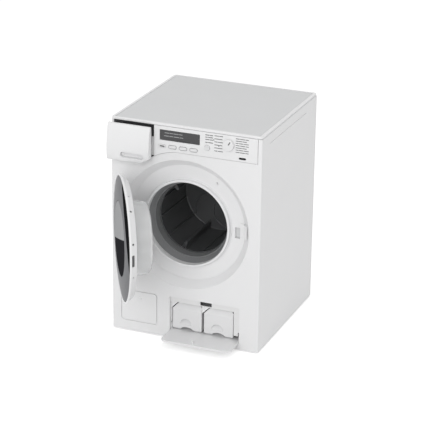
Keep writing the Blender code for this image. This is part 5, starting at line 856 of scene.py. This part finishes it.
# Painted shadow: the crescent is black where the gap beside the face lies in shade.
crescent_painted_shadow = plastic("crescent painted shadow", (0.012, 0.012, 0.013), 0.35, 0.08, 0.1, 2000, 0.04, 0.0, 0.0)
fit(swung(inlay), "door", crescent_painted_shadow, "black_plastic", angle=30)

# The window is smoked plastic; above a slanted line its upper part is painted lighter grey, a painted
# reflection of bright surroundings.
window_tint_and_reflection = plastic("smoked window and painted reflection", (0.03, 0.03, 0.033), 0.22, 0.05, 0.03, 1500, 0.01, 0.0, 0.0)
nodes, links = window_tint_and_reflection.node_tree.nodes, window_tint_and_reflection.node_tree.links
place = nodes.new("ShaderNodeTexCoord")
aim = nodes.new("ShaderNodeMapping")
aim.inputs["Location"].default_value = (0, 0, -axis_z)
split = nodes.new("ShaderNodeSeparateXYZ")
lean = nodes.new("ShaderNodeMath")
lean.operation = "MULTIPLY_ADD"
lean.inputs[1].default_value = -0.614
edge = nodes.new("ShaderNodeMapRange")
edge.inputs["From Min"].default_value = 0.0309
edge.inputs["From Max"].default_value = 0.0315
# Painted reflection: the window turns lighter grey above the slanted line.
painted_reflection_mix = nodes.new("ShaderNodeMix")
painted_reflection_mix.data_type = "RGBA"
painted_reflection_mix.inputs["A"].default_value = (0.028, 0.028, 0.031, 1)
painted_reflection_mix.inputs["B"].default_value = (0.42, 0.424, 0.43, 1)
links.new(place.outputs["Object"], aim.inputs["Vector"])
links.new(aim.outputs["Vector"], split.inputs[0])
links.new(split.outputs["X"], lean.inputs[0])
links.new(split.outputs["Z"], lean.inputs[2])
links.new(lean.outputs[0], edge.inputs["Value"])
links.new(edge.outputs["Result"], painted_reflection_mix.inputs["Factor"])
surface = next(n for n in nodes if n.type == "GROUP")
links.new(painted_reflection_mix.outputs["Result"], surface.inputs["Colour"])
window_section = rounded_corners(
    on_door([(0, 0.0021), (0.042, 0.0021), (0.042, 0.0007), (0.0378, 0.00046), (0.0231, 0.00014), (0, 0)]),
    [0, 0.0002, 0.0004, 0.004, 0.006, 0],
    4,
)
window = turned("smoked_window", window_section, (0, 0, axis_z), sides=128)
fit(swung(window), "door", window_tint_and_reflection, "smoked_plastic", "door_window", angle=30)

clear_bowl = bpy.data.materials.new("clear bowl")
clear_bowl.use_nodes = True
nodes, links = clear_bowl.node_tree.nodes, clear_bowl.node_tree.links
shader = nodes["Principled BSDF"]
skin = nodes.new("ShaderNodeGroup")
skin.node_tree = moulded_surface
skin.inputs["Colour"].default_value = (0.97, 0.975, 0.98, 1)
skin.inputs["Cloud"].default_value = 0.02
skin.inputs["Roughness"].default_value = 0.05
skin.inputs["Roughness Spread"].default_value = 0.03
links.new(skin.outputs["Colour"], shader.inputs["Base Color"])
links.new(skin.outputs["Roughness"], shader.inputs["Roughness"])
shader.inputs["Transmission Weight"].default_value = 0.62
shader.inputs["IOR"].default_value = 1.49
bowl_section = rounded_corners(
    on_door([
        (0, 0.0332),
        (0.0395, 0.0332),
        (0.0448, 0.0053),
        (0.0518, 0.0053),
        (0.0518, 0.0039),
        (0.0432, 0.0039),
        (0.0379, 0.0316),
        (0, 0.0316),
    ]),
    [0, 0.0042, 0.0006, 0.0003, 0.0003, 0.0006, 0.0030, 0],
    10,
)
bowl = turned("clear_bowl", bowl_section, (0, 0, axis_z), sides=128)
fit(swung(bowl), "door", clear_bowl, "clear_plastic", "door_bowl", angle=30)

# Door catch. A white wedge on the dish's sloping wall, with a foot on the dish's floor; the door's
# slot snaps over its nub. The white plunger near the top of the dish feels whether the door is shut.

run = dish_radius - dish_floor_radius
slant = math.hypot(run, dish_depth)


def on_slope(up, out):
    """A place up the dish's wall and out from it, in plan."""
    return (
        dish_floor_radius + (run * up - dish_depth * out) / slant,
        dish_floor + (-dish_depth * up - run * out) / slant,
    )


wedge_points = [on_slope(up, out) for up, out in (
    (0.0014, 0.0008), (0.0088, 0.0008), (0.0088, 0.0016), (0.0072, 0.0024), (0.0051, 0.0024),
    (0.0044, 0.0031), (0.0037, 0.0031), (0.0030, 0.0024),
)]
foot_points = [(0.0679, dish_floor - 0.0012), (0.0636, dish_floor - 0.0012),
               (0.0636, dish_floor - 0.0003), (0.0688, dish_floor - 0.0003)]
catch_outline = rounded_corners(
    wedge_points + foot_points,
    [0.0002, 0.0004, 0.0004, 0.0008, 0.0003, 0.0002, 0.0002, 0.0003, 0.0006, 0.0003, 0.0002, 0.0002],
    4,
)
catch_z, catch_half = 0.144, 0.00825
catch = drawn("catch_wedge", catch_outline, catch_z - catch_half, catch_z + catch_half, "Z")
round_edges(catch, 0.0003, 2, lambda a, b: abs(a.z - b.z) < 0.00001)
fit(catch, "cabinet", cabinet_white, "white_plastic", "door_catch")

# A grey leaf lies behind the slot in the dish's floor: painted shade, a grey sheet that darkens the slot.
slot_shade_leaf = block("catch_slot_shade", (0.0565, dish_back + 0.0004, 0.1328), (0.0639, dish_back + 0.0014, 0.1472))
round_edges(slot_shade_leaf, 0.0002, 2)
fit(slot_shade_leaf, "cabinet", lid_grey, "pale_grey_plastic")

dark_plastic = plastic("dark grey plastic", (0.05, 0.051, 0.054), 0.45, 0.08, 0.1, 2000, 0.06)
plunger_section = rounded_corners(
    [
        (0, dish_floor - 0.0014), (0.0012, dish_floor - 0.0014), (0.0012, dish_back + 0.0003),
        (0.0021, dish_back + 0.0003), (0.0021, dish_back + 0.0011), (0, dish_back + 0.0011),
    ],
    [0, 0.0006, 0, 0.0002, 0.0002, 0], 4,
)
plunger = turned("switch_plunger_pin", plunger_section, (switch_x, 0, switch_z), sides=32)
fit(plunger, "switch_plunger", cabinet_white, "white_plastic", "door_switch_pin")

# Control panel. A white moulding clipped over the front, its lower left corner cut to follow the
# dish. It has pockets for the display and the lamp's lens, holes for the keys, and printed marks.

panel_front = front - 0.0006
panel_back = panel_front + 0.0025
panel_white = plastic("panel white", (0.77, 0.77, 0.775), 0.32, 0.02, 0.06, 2500, 0.03, 0.1)
panel_left, panel_right = -0.038, 0.086
key_z = 0.2341
start_x, start_z = 0.0262, 0.2393
dial_x, dial_z = 0.0519, 0.2461
lens_x, lens_z = 0.0682, 0.2323
fascia_outline = [(panel_right, panel_low), (panel_right, panel_top), (panel_left, panel_top)] + arc(
    (0, axis_z), dish_cut_radius,
    ring_angle(dish_cut_radius, x=panel_left), ring_angle(dish_cut_radius, z=panel_low), 12,
)
fascia = drawn("control_panel", fascia_outline, panel_front, panel_back)
round_edges(fascia, 0.0005, 3, lambda a, b: max(a.y, b.y) < panel_front + 0.0001)


def slot_outline_at(x, z, length, breadth, steps=8):
    """A slot with half-round ends."""
    reach = (length - breadth) / 2
    return arc((x + reach, z), breadth / 2, -90, 90, 2 * steps) + arc(
        (x - reach, z), breadth / 2, 90, 270, 2 * steps
    )


display_pocket = block("display_pocket", (-0.031, front - 0.002, 0.241), (0.0175, front + 0.001, 0.2533))
round_edges(display_pocket, 0.0006, 3, lambda a, b: abs(a.y - b.y) > 0.001)
pocket_outline = slot_outline_at(lens_x, lens_z, 0.0086, 0.0025)
lens_pocket = drawn("lens_pocket", pocket_outline, front - 0.002, panel_front + 0.0015)
carve(fascia, display_pocket, lens_pocket)
key_places = (-0.0281, -0.01537, -0.00264, 0.01009)
for x in key_places:
    hole_outline = slot_outline_at(x, key_z, 0.0092, 0.0040)
    carve(fascia, drawn("key_hole", hole_outline, front - 0.002, front + 0.004))
for x, z, radius in ((start_x, start_z, 0.0035), (dial_x, dial_z, 0.0021)):
    hole_outline = arc((x, z), radius, 0, 360, 48)[:-1]
    carve(fascia, drawn("round_hole", hole_outline, front - 0.002, front + 0.004))
for x, z in ((-0.0305, 0.2506), (0.0785, 0.234), (0.0785, 0.2506)):
    post_outline = arc((x, z), 0.002, 0, 360, 24)[:-1]
    post = drawn("panel_post", post_outline, panel_back - 0.0005, panel_back + 0.0074)
    carve(fascia, post, operation="UNION")
fit(fascia, "cabinet", panel_white, "white_plastic", "control_fascia", angle=30)

# The marks beside the dial are printed in grey ink: short lines, a column of labels, two dots.
ink_grey = plastic("printed grey", (0.1, 0.1, 0.105), 0.5, 0.15, 0.1, 1500, 0.02)


def printed(x, z, lengths, breadth, surface):
    """A row of printed bars with small gaps between them, standing just proud of a surface."""
    bars = []
    for length in lengths:
        bars.append(block(
            "bar", (x, surface - 0.00004, z - breadth / 2), (x + length, surface + 0.0001, z + breadth / 2)
        ))
        x += length + 0.0006
    return bars


marks = []
first_row = 0.2547
bars = ((0.0046, 0.0058, 0.0036), (0.0072, 0.0050), (0.0034, 0.0050, 0.0056))
for row in range(7):
    marks += printed(0.0601, first_row - 0.0026 * row, bars[row % 3], 0.0008, panel_front)
bars = ((0.0052, 0.0043), (0.0095,), (0.0036, 0.0059))
for row in range(6):
    marks += printed(0.0349, first_row - 0.0035 * row, bars[row % 3], 0.0008, panel_front)
for row, z in enumerate((0.2543, 0.2517, 0.2491, 0.2457)):
    marks += printed(0.0240, z, ((0.0050, 0.0036), (0.0028, 0.0058))[row % 2], 0.0009, panel_front)
dot_section = [(0, panel_front - 0.00004), (0.0007, panel_front - 0.00004),
               (0.0007, panel_front + 0.0001), (0, panel_front + 0.0001)]
for x, z in ((0.0341, 0.2496), (0.0402, 0.2434)):
    marks.append(turned("dot", dot_section, (x, 0, z), sides=20))
fit(joined(marks), "cabinet", ink_grey, "dark_grey_plastic")

# A grey line round the holes of the three keys on the right: painted shade of the gaps round the keys.
key_gap_shade = plastic("key gap painted shade", (0.3, 0.303, 0.307), 0.5, 0.1, 0.1, 1500, 0.02)
rims = []
for x in key_places[1:]:
    outline = slot_outline_at(x, key_z, 0.0100, 0.0048)
    inner = slot_outline_at(x, key_z, 0.0093, 0.0041)
    rim = drawn("key_rim", outline, panel_front - 0.00004, panel_front + 0.0001)
    rims.append(carve(rim, drawn("rim_room", inner, panel_front - 0.001, panel_front + 0.001)))
fit(joined(rims), "cabinet", key_gap_shade, "pale_grey_plastic")

# Display: a glossy black window with two faint lines of segments on its face.
display_black = plastic("display black", (0.012, 0.012, 0.014), 0.08, 0.05, 0.03, 1500, 0.01, 0.6)
low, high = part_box("display_window")
display = block("display_glass", low, high)
round_edges(display, 0.0006, 3, lambda a, b: abs(a.y - b.y) > 0.0005)
round_edges(display, 0.00015, 2, lambda a, b: max(a.y, b.y) < low.y + 0.00005)
fit(display, "cabinet", display_black, "dark_grey_plastic", "display_window")
segment_grey = plastic("display segments", (0.34, 0.345, 0.35), 0.5, 0.1, 0.05, 1500, 0.01)
segments = printed(-0.0248, 0.2499, (0.0054, 0.0038, 0.0063, 0.0040), 0.0008, low.y)
segments += printed(-0.0257, 0.2463, (0.0060, 0.0045, 0.0068, 0.0040), 0.0008, low.y)
fit(joined(segments), "cabinet", segment_grey, "pale_grey_plastic")

# Keys: four flat oblong keys and a round start key, each with a flange behind the panel and a
# stem down to the rubber contacts. The first key carries a printed black bar.
key_white = plastic("key white", (0.74, 0.74, 0.745), 0.3, 0.02, 0.06, 2500, 0.03, 0.15)
stem_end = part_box("option_button_1")[1].y
for number, x in enumerate(key_places, 1):
    key_outline = slot_outline_at(x, key_z, 0.0086, 0.0034)
    key = drawn("key", key_outline, panel_front - 0.0006, panel_back + 0.0008)
    round_edges(key, 0.0004, 4, lambda a, b: max(a.y, b.y) < panel_front - 0.0005)
    flange_outline = slot_outline_at(x, key_z, 0.0100, 0.0048)
    flange = drawn("flange", flange_outline, panel_back + 0.0003, panel_back + 0.0011)
    stem = drawn("stem", arc((x, key_z), 0.0011, 0, 360, 24)[:-1], panel_back + 0.0005, stem_end)
    carve(key, flange, stem, operation="UNION")
    fit(key, f"key_{number}", key_white, "white_plastic", f"option_button_{number}")
bar_outline = slot_outline_at(-0.02765, 0.23405, 0.0057, 0.0013)
bar = drawn("key_bar", bar_outline, panel_front - 0.00064, panel_front - 0.0005)
fit(bar, "key_1", display_black, "black_plastic")
start_section = rounded_corners(
    [
        (0, panel_front - 0.0008), (0.0016, panel_front - 0.0008), (0.0024, panel_front - 0.001),
        (0.0032, panel_front - 0.001), (0.0032, panel_back + 0.0003), (0.0039, panel_back + 0.0003),
        (0.0039, panel_back + 0.0011), (0.0011, panel_back + 0.0011), (0.0011, stem_end), (0, stem_end),
    ],
    [0, 0.0006, 0.0004, 0.0005, 0, 0.0002, 0.0002, 0, 0.0002, 0], 4,
)
start_grey = plastic("start key grey", (0.68, 0.684, 0.69), 0.3, 0.02, 0.06, 2500, 0.03, 0.15)
start = turned("start_key_cap", start_section, (start_x, 0, start_z), sides=48)
fit(start, "start_key", start_grey, "white_plastic", "start_button")

# Lamp lens: a smooth black pill let into its pocket.
lens_black = plastic("lens black", (0.008, 0.008, 0.009), 0.12, 0.05, 0.03, 1500, 0.01, 0.1, 0.15)
lens_outline = slot_outline_at(lens_x, lens_z, 0.0080, 0.0019)
lens = drawn("lamp_lens", lens_outline, panel_front - 0.0002, panel_front + 0.0012)
round_edges(lens, 0.0002, 3, lambda a, b: max(a.y, b.y) < panel_front - 0.0001)
fit(lens, "cabinet", lens_black, "black_plastic", "indicator_lens")

# Programme dial. A white knob on its shaft, with a soft edge and a dark pointer let into a groove
# in its face; the shaft turns the rotary switch on the board.

dial_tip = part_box("programme_dial")[1].y
dial_section = rounded_corners(
    [
        (0, panel_front - 0.0038), (0.0066, panel_front - 0.0038), (0.0066, panel_front - 0.0003),
        (0.0018, panel_front - 0.0003), (0.0018, dial_tip), (0, dial_tip),
    ],
    [0, 0.0010, 0.0003, 0.0002, 0.0003, 0], 6,
)
dial = turned("dial_knob", dial_section, (dial_x, 0, dial_z), sides=96)
mark_turn = math.radians(58)
mark_line = [
    (dial_x + r * math.cos(mark_turn), dial_z + r * math.sin(mark_turn)) for r in (0.0012, 0.0056)
]
carve(dial, drawn("mark_groove", strip(mark_line, 0.0011), panel_front - 0.0048, panel_front - 0.0034))
fit(dial, "dial", key_white, "white_plastic", "programme_dial")
pointer = drawn("dial_pointer", strip(mark_line, 0.00105), panel_front - 0.0037, panel_front - 0.00335)
round_edges(pointer, 0.00008, 2, lambda a, b: max(a.y, b.y) < panel_front - 0.00365)
fit(pointer, "dial", dark_plastic, "dark_grey_plastic")

# Detergent drawer. A bowed white front with a finger slot, its lower right corner cut round to
# follow the dish; a white tray in three compartments runs behind it in a black sleeve.

drawer_out = -0.009
drawer_left, drawer_right = -0.0905, -0.0387
drawer_height = panel_top - 0.0010 - drawer_low
bow_depth = 0.0052
bow = []
shares = (
    (1.0, 0.28), (0.94, 0.42), (0.8, 0.64), (0.6, 0.86), (0.38, 1.0), (0.16, 0.97), (0.04, 0.84), (0.0, 0.7),
)


def bow_point(up, out):
    """A place on the drawer's bowed face, from its share of the height and of the bow."""
    return (front - bow_depth * out + wall * (1 - out) / 2 + drawer_out, drawer_low + drawer_height * up)


for n in range(len(shares) - 1):
    before = shares[max(n - 1, 0)]
    here, after = shares[n], shares[n + 1]
    beyond = shares[min(n + 2, len(shares) - 1)]
    for step in range(3):
        t = step / 3
        spot = []
        for k in (0, 1):
            spot.append(0.5 * (2 * here[k] + (after[k] - before[k]) * t
                        + (2 * before[k] - 5 * here[k] + 4 * after[k] - beyond[k]) * t**2
                        + (3 * here[k] - before[k] - 3 * after[k] + beyond[k]) * t**3))
        bow.append(bow_point(*spot))
bow.append(bow_point(0.0, 0.7))
drawer_rear = front + wall + drawer_out
drawer_profile = [(drawer_rear, drawer_low), (drawer_rear, drawer_low + drawer_height)] + bow
drawer = drawn("drawer_cap", drawer_profile, drawer_left, drawer_right, "X")
corner_circle = arc((0, axis_z), dish_cut_radius, 0, 360, 256)[:-1]
corner = drawn("corner_cut", corner_circle, front - 0.03, front + 0.01)
grip_floor = front - bow_depth + 0.0054 + drawer_out
grip = drawn("grip_cut", slot_outline_at(-0.0593, 0.2219, 0.0288, 0.0062, 12), front - 0.03, grip_floor)
round_edges(grip, 0.0009, 3, lambda a, b: min(a.y, b.y) > grip_floor - 0.00005)
carve(drawer, corner, grip)


def drawer_side(a, b):
    """True for the edges of the drawer front's left and right ends."""
    at_end = abs(a.x - b.x) < 0.00001 and (a.x < drawer_left + 0.0001 or a.x > drawer_right - 0.0001)
    return at_end and max(a.y, b.y) < front + drawer_out + 0.001


round_edges(drawer, 0.0006, 3, drawer_side)
fit(drawer, "drawer", panel_white, "white_plastic", "drawer_front", angle=30)

# A thin white rub strip on the mouth of the dark sleeve shows beside the drawer when it is out.
rub_strip = block("rub_strip", (-0.0424, front + 0.00262, 0.2204), (-0.0389, front + 0.00282, 0.2424))
round_edges(rub_strip, 0.00005, 2)
fit(rub_strip, "cabinet", panel_white, "white_plastic")

# Lower flap. A white plate that folds down on two pins at its lower corners; a tongue behind its
# top edge snaps into a black latch under the front.

flap_pivot = Vector((0, front + 0.0075, 0.0155))
flap_back = front + 0.0023
ear_radius = 0.0032
flap_section = [(front, flap_top), (flap_back, flap_top), (flap_back, 0.0086), (front, 0.0110)]
flap_section = rounded_corners(flap_section, [0.0005, 0.0004, 0.0004, 0.0005], 4)
flap = drawn("flap_plate", flap_section, flap_left, flap_right, "X")
for edge_x, side in ((flap_left, 1), (flap_right, -1)):
    x = edge_x - side * 0.001
    corner_outline = [(x, flap_top + 0.001), (x + side * 0.0065, flap_top + 0.001), (x, flap_top - 0.0055)]
    carve(flap, drawn("flap_corner_cut", corner_outline, front - 0.001, front + 0.004))
    inner_x = edge_x + side * 0.0015
    ear = drawn(
        "flap_ear_web",
        [(front + 0.0018, flap_pivot.z - ear_radius), (flap_pivot.y, flap_pivot.z - ear_radius)]
        + arc((flap_pivot.y, flap_pivot.z), ear_radius, -80, 80, 16)
        + [(flap_pivot.y, flap_pivot.z + ear_radius), (front + 0.0018, flap_pivot.z + ear_radius)],
        min(edge_x, inner_x), max(edge_x, inner_x), "X",
    )
    pin_x = edge_x - side * 0.0014
    pin = drawn(
        "flap_pin", arc((flap_pivot.y, flap_pivot.z), 0.0012, 0, 360, 32)[:-1],
        min(pin_x, edge_x + side * 0.0007), max(pin_x, edge_x + side * 0.0007), "X",
    )
    carve(flap, ear, pin, operation="UNION")
tongue = drawn(
    "flap_tongue_hook",
    rounded_corners(
        [(front + 0.0018, flap_top - 0.0052), (front + 0.0065, flap_top - 0.0052),
         (front + 0.0065, flap_top - 0.0034), (front + 0.0018, flap_top - 0.0034)],
        [0, 0.0006, 0.0003, 0], 4,
    ),
    0.0202, 0.0220, "X",
)
carve(flap, tongue, operation="UNION")
flap = turned_to(flap, math.radians(90), flap_pivot, "X")
fit(flap, "lower_flap", door_white, "white_plastic", "flap", angle=30)

latch_black = plastic("latch black", (0.018, 0.018, 0.02), 0.4, 0.08, 0.1, 2000, 0.06)
low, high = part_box("flap_latch")
latch = block("latch_block", low, high)
round_edges(latch, 0.0004, 3)
pocket = block(
    "latch_pocket", (0.01925, low.y - 0.001, flap_top - 0.0059),
    (0.02295, low.y + 0.0066, flap_top - 0.0027),
)
carve(latch, pocket)
fit(latch, "cabinet", latch_black, "black_plastic", "flap_latch")

# Canisters. Two white pull-out boxes side by side in the bay behind the flap, with slanted top
# corners, an arched notch between their feet and a round hollow to put a thumb in.

canister_front = front + 0.004
canister_back = canister_front + 0.046
bottom, top = 0.0109, 0.0443
corner_slant = 0.0075
notch_half = 0.0085
canister_white = plastic("canister white", (0.74, 0.74, 0.745), 0.34, 0.03, 0.06, 2500, 0.03, 0.05)
for word in ("left", "right"):
    low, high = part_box("canister_" + word)
    left, right = low.x, high.x
    outline = [
        (left + 0.0018, bottom), (right - 0.0018, bottom), (right, bottom + 0.0018),
        (right, top - 0.0028), (right - 0.0028, top), (left + corner_slant, top), (left, top - corner_slant),
        (left, bottom + 0.0018),
    ]
    outline = rounded_corners(outline, [0.0009, 0.0009, 0.0009, 0.0014, 0.0014, 0.0014, 0.0014, 0.0009], 4)
    can = drawn(word + "_box", outline, canister_front, canister_back)
    round_edges(can, 0.0006, 3, lambda a, b: max(a.y, b.y) < canister_front + 0.00005)
    toe = drawn(
        "toe_cut",
        [(canister_front - 0.001, bottom - 0.001), (canister_front + 0.0028, bottom - 0.001),
         (canister_front - 0.001, bottom + 0.0028)],
        left - 0.001, right + 0.001, "X",
    )
    middle = (left + right) / 2
    arch = [(middle + notch_half * math.cos(a), bottom + 0.0042 * math.sin(a))
            for a in [math.pi * n / 32 for n in range(33)]]
    arch += [(middle - notch_half, bottom - 0.001), (middle + notch_half, bottom - 0.001)]
    notch = drawn("notch_cut", arch, canister_front - 0.001, canister_front + 0.010)
    dome = arc((middle - 0.0015, bottom + 0.0072), 0.0072, 0, 180, 28)
    thumb = drawn("thumb_hollow", dome, canister_front - 0.001, canister_front + 0.0052)
    floor_slope = block(
        "hollow_slope", (left - 0.001, canister_front - 0.0110, bottom - 0.006),
        (right + 0.001, canister_front, bottom + 0.016),
    )
    turned_to(floor_slope, math.radians(-34), (0, canister_front, bottom + 0.0066), "X")
    carve(thumb, floor_slope, operation="INTERSECT")
    inside = block(
        "inside_cut", (left + 0.0015, canister_front + 0.0115, bottom + 0.0015),
        (right - 0.0015, canister_back + 0.001, top - 0.0065),
    )
    round_edges(inside, 0.0008, 3)
    brow = drawn(
        "brow_cut",
        [(canister_front - 0.001, top - 0.0080), (canister_front, top - 0.0078),
         (canister_front + 0.0024, top + 0.0001), (canister_front - 0.001, top + 0.001)],
        left - 0.001, right + 0.001, "X",
    )
    carve(can, toe, notch, thumb, inside, brow)
    fit(can, word + "_canister", canister_white, "white_plastic", "canister_" + word, angle=30)

# Corner fillets of the bay. White ribs moulded in the bay's upper corners follow the canisters'
# slanted corners, and a narrow strip beside the first canister closes the gap to the recess.

corner_top = top + 0.0010
fillet_gap = 0.00156
for edge_x, left, lowest in ((-0.0186, -0.0165, 0.0197), (0.0200, 0.0226, None)):
    line_low = edge_x - left + top - corner_slant + fillet_gap
    line_end = left + corner_top - top + corner_slant - fillet_gap
    outline = [(edge_x, corner_top), (edge_x, line_low), (line_end, corner_top)]
    if lowest:
        strip_end = left - 0.0007
        outline = [
            (edge_x, corner_top), (edge_x, lowest), (strip_end, lowest),
            (strip_end, line_low + strip_end - edge_x), (line_end, corner_top),
        ]
    fillet = drawn("bay_fillet", outline, canister_front + 0.0003, canister_front + 0.0200)
    round_edges(fillet, 0.0002, 2, lambda a, b: max(a.y, b.y) < canister_front + 0.0004)
    fit(fillet, "cabinet", cabinet_white, "white_plastic")

# Inside and behind. The floor, back, bulkhead, bay, drawer tray, drive, board, batteries and
# loudspeaker: plain mouldings and bought parts that the cabinet hides, each with its own finish.

off_white = plastic("off-white plastic", (0.66, 0.66, 0.655), 0.45, 0.04, 0.08, 1800, 0.08)
bay_white = plastic("bay white", (0.75, 0.75, 0.75), 0.45, 0.04, 0.08, 1800, 0.06)
gear_white = plastic("gear plastic", (0.72, 0.71, 0.66), 0.4, 0.05, 0.08, 1800, 0.05)
sleeve_black = plastic("sleeve black", (0.02, 0.02, 0.022), 0.4, 0.08, 0.1, 2000, 0.06)
bracket_grey = plastic("bracket grey", (0.05, 0.051, 0.054), 0.42, 0.08, 0.1, 2000, 0.06)
cell_blue = plastic("cell sleeve", (0.11, 0.13, 0.26), 0.3, 0.1, 0.08, 900, 0.03, 0.2)
board_green = plastic("board laminate", (0.03, 0.17, 0.07), 0.4, 0.3, 0.15, 1200, 0.1)
contact_rubber = plastic("contact rubber", (0.1, 0.1, 0.1), 0.7, 0.1, 0.1, 1500, 0.15)


def metal(name, colour, roughness, stretch):
    """A plain metal with fine lines along one direction."""
    material = bpy.data.materials.new(name)
    material.use_nodes = True
    nodes, links = material.node_tree.nodes, material.node_tree.links
    shader = nodes["Principled BSDF"]
    place = nodes.new("ShaderNodeTexCoord")
    aim = nodes.new("ShaderNodeMapping")
    aim.inputs["Scale"].default_value = stretch
    lines = nodes.new("ShaderNodeTexNoise")
    lines.inputs["Scale"].default_value = 1
    lines.inputs["Detail"].default_value = 3
    tone = nodes.new("ShaderNodeMapRange")
    tone.inputs["To Min"].default_value = roughness - 0.06
    tone.inputs["To Max"].default_value = roughness + 0.1
    shade = nodes.new("ShaderNodeMix")
    shade.data_type = "RGBA"
    shade.inputs["A"].default_value = (*[0.86 * c for c in colour], 1)
    shade.inputs["B"].default_value = (*colour, 1)
    links.new(place.outputs["Object"], aim.inputs["Vector"])
    links.new(aim.outputs["Vector"], lines.inputs["Vector"])
    links.new(lines.outputs["Fac"], tone.inputs["Value"])
    links.new(lines.outputs["Fac"], shade.inputs["Factor"])
    links.new(shade.outputs["Result"], shader.inputs["Base Color"])
    links.new(tone.outputs["Result"], shader.inputs["Roughness"])
    shader.inputs["Metallic"].default_value = 1
    return material


zinc = metal("zinc-plated steel", (0.6, 0.6, 0.62), 0.32, (900, 120, 900))
motor_steel = metal("motor can steel", (0.55, 0.55, 0.56), 0.38, (1600, 60, 1600))
sintered_bronze = metal("sintered bronze", (0.55, 0.36, 0.18), 0.42, (1500, 1500, 1500))

carried = (
    (cabinet_white, ("base_plate", "back_panel")),
    (off_white, ("bulkhead", "battery_cover")),
    (bay_white, ("canister_bay", "drawer_tray")),
    (gear_white, ("drum_gear", "pinion")),
    (sleeve_black, ("drawer_housing", "battery_box", "door_switch")),
    (bracket_grey, ("dial_selector", "motor_bracket", "speaker")),
    (cell_blue, ("battery_1", "battery_2", "battery_3")),
    (board_green, ("circuit_board",)),
    (contact_rubber, ("button_membrane",)),
    (motor_steel, ("motor",)),
    (sintered_bronze, ("bearing_bush",)),
    (zinc, ("drum_shaft", "door_hinge_pin", "door_hinge_bracket", "back_screw_left", "back_screw_right",
            "battery_cover_screw", "contact_left", "contact_right")),
)
for material, names in carried:
    for name in names:
        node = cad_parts[name]
        node.data.materials.clear()
        node.data.materials.append(material)

# Studio. A pale floor that keeps the shadow, a white world seen by the camera and by reflections,
# and three large soft lamps.


def white_to_camera(tree):
    """A value of 1 for the camera, for reflections and through clear plastic, and 0 elsewhere."""
    nodes, links = tree.nodes, tree.links
    path = nodes.new("ShaderNodeLightPath")
    both = nodes.new("ShaderNodeMath")
    both.operation = "MAXIMUM"
    every = nodes.new("ShaderNodeMath")
    every.operation = "MAXIMUM"
    links.new(path.outputs["Is Camera Ray"], both.inputs[0])
    links.new(path.outputs["Is Glossy Ray"], both.inputs[1])
    links.new(both.outputs[0], every.inputs[0])
    links.new(path.outputs["Is Transmission Ray"], every.inputs[1])
    return every


world = bpy.data.worlds.new("studio")
bpy.context.scene.world = world
world.use_nodes = True
nodes, links = world.node_tree.nodes, world.node_tree.links
seen = white_to_camera(world.node_tree)
backdrop = nodes["Background"]
backdrop.inputs["Color"].default_value = (1, 1, 1, 1)
level = nodes.new("ShaderNodeMapRange")
level.inputs["To Min"].default_value = 0.68
level.inputs["To Max"].default_value = 1.0
links.new(seen.outputs[0], level.inputs["Value"])
links.new(level.outputs["Result"], backdrop.inputs["Strength"])

bpy.ops.mesh.primitive_plane_add(size=6, location=(0, 0, -0.0002))
floor = bpy.context.object
floor.name = "studio_floor"
floor_white = bpy.data.materials.new("studio floor")
floor_white.use_nodes = True
nodes, links = floor_white.node_tree.nodes, floor_white.node_tree.links
shader = nodes["Principled BSDF"]
shader.inputs["Roughness"].default_value = 0.9
shader.inputs["Specular IOR Level"].default_value = 0.0
seen = white_to_camera(floor_white.node_tree)
lift = nodes.new("ShaderNodeMapRange")
lift.inputs["To Min"].default_value = 0.0
lift.inputs["To Max"].default_value = 0.45
links.new(seen.outputs[0], lift.inputs["Value"])
shader.inputs["Base Color"].default_value = (0.82, 0.82, 0.82, 1)
shader.inputs["Emission Color"].default_value = (1, 1, 1, 1)
links.new(lift.outputs["Result"], shader.inputs["Emission Strength"])
floor.data.materials.append(floor_white)


def lamp(name, place, target, size, power):
    """A square soft lamp aimed at a point."""
    light = bpy.data.lights.new(name, "AREA")
    light.shape = "SQUARE"
    light.size = size
    light.energy = power
    holder = bpy.data.objects.new(name, light)
    bpy.context.scene.collection.objects.link(holder)
    holder.location = place
    aim = Vector(target) - Vector(place)
    holder.rotation_euler = aim.to_track_quat("-Z", "Y").to_euler()
    return holder


lamp("front lamp", (0.1, -1.8, 0.9), (0, 0, 0.12), 1.3, 13)
lamp("right lamp", (1.7, -0.4, 0.9), (0, 0, 0.12), 1.0, 2)
lamp("top lamp", (0.1, -0.1, 1.8), (0, 0, 0.12), 1.2, 3.5)

camera = bpy.data.objects.new("camera", bpy.data.cameras.new("camera"))
bpy.context.scene.collection.objects.link(camera)
camera.matrix_world = Matrix((
    (0.9272, -0.1488, 0.3439, 0.7361),
    (0.3745, 0.3349, -0.8646, -1.8216 + (front + 0.090)),
    (0.0135, 0.9304, 0.3662, 0.8857),
    (0, 0, 0, 1),
))
camera.data.lens = 144.1
camera.data.sensor_width = 36
camera.data.clip_end = 10
bpy.context.scene.camera = camera
bpy.context.scene.view_settings.view_transform = "Standard"
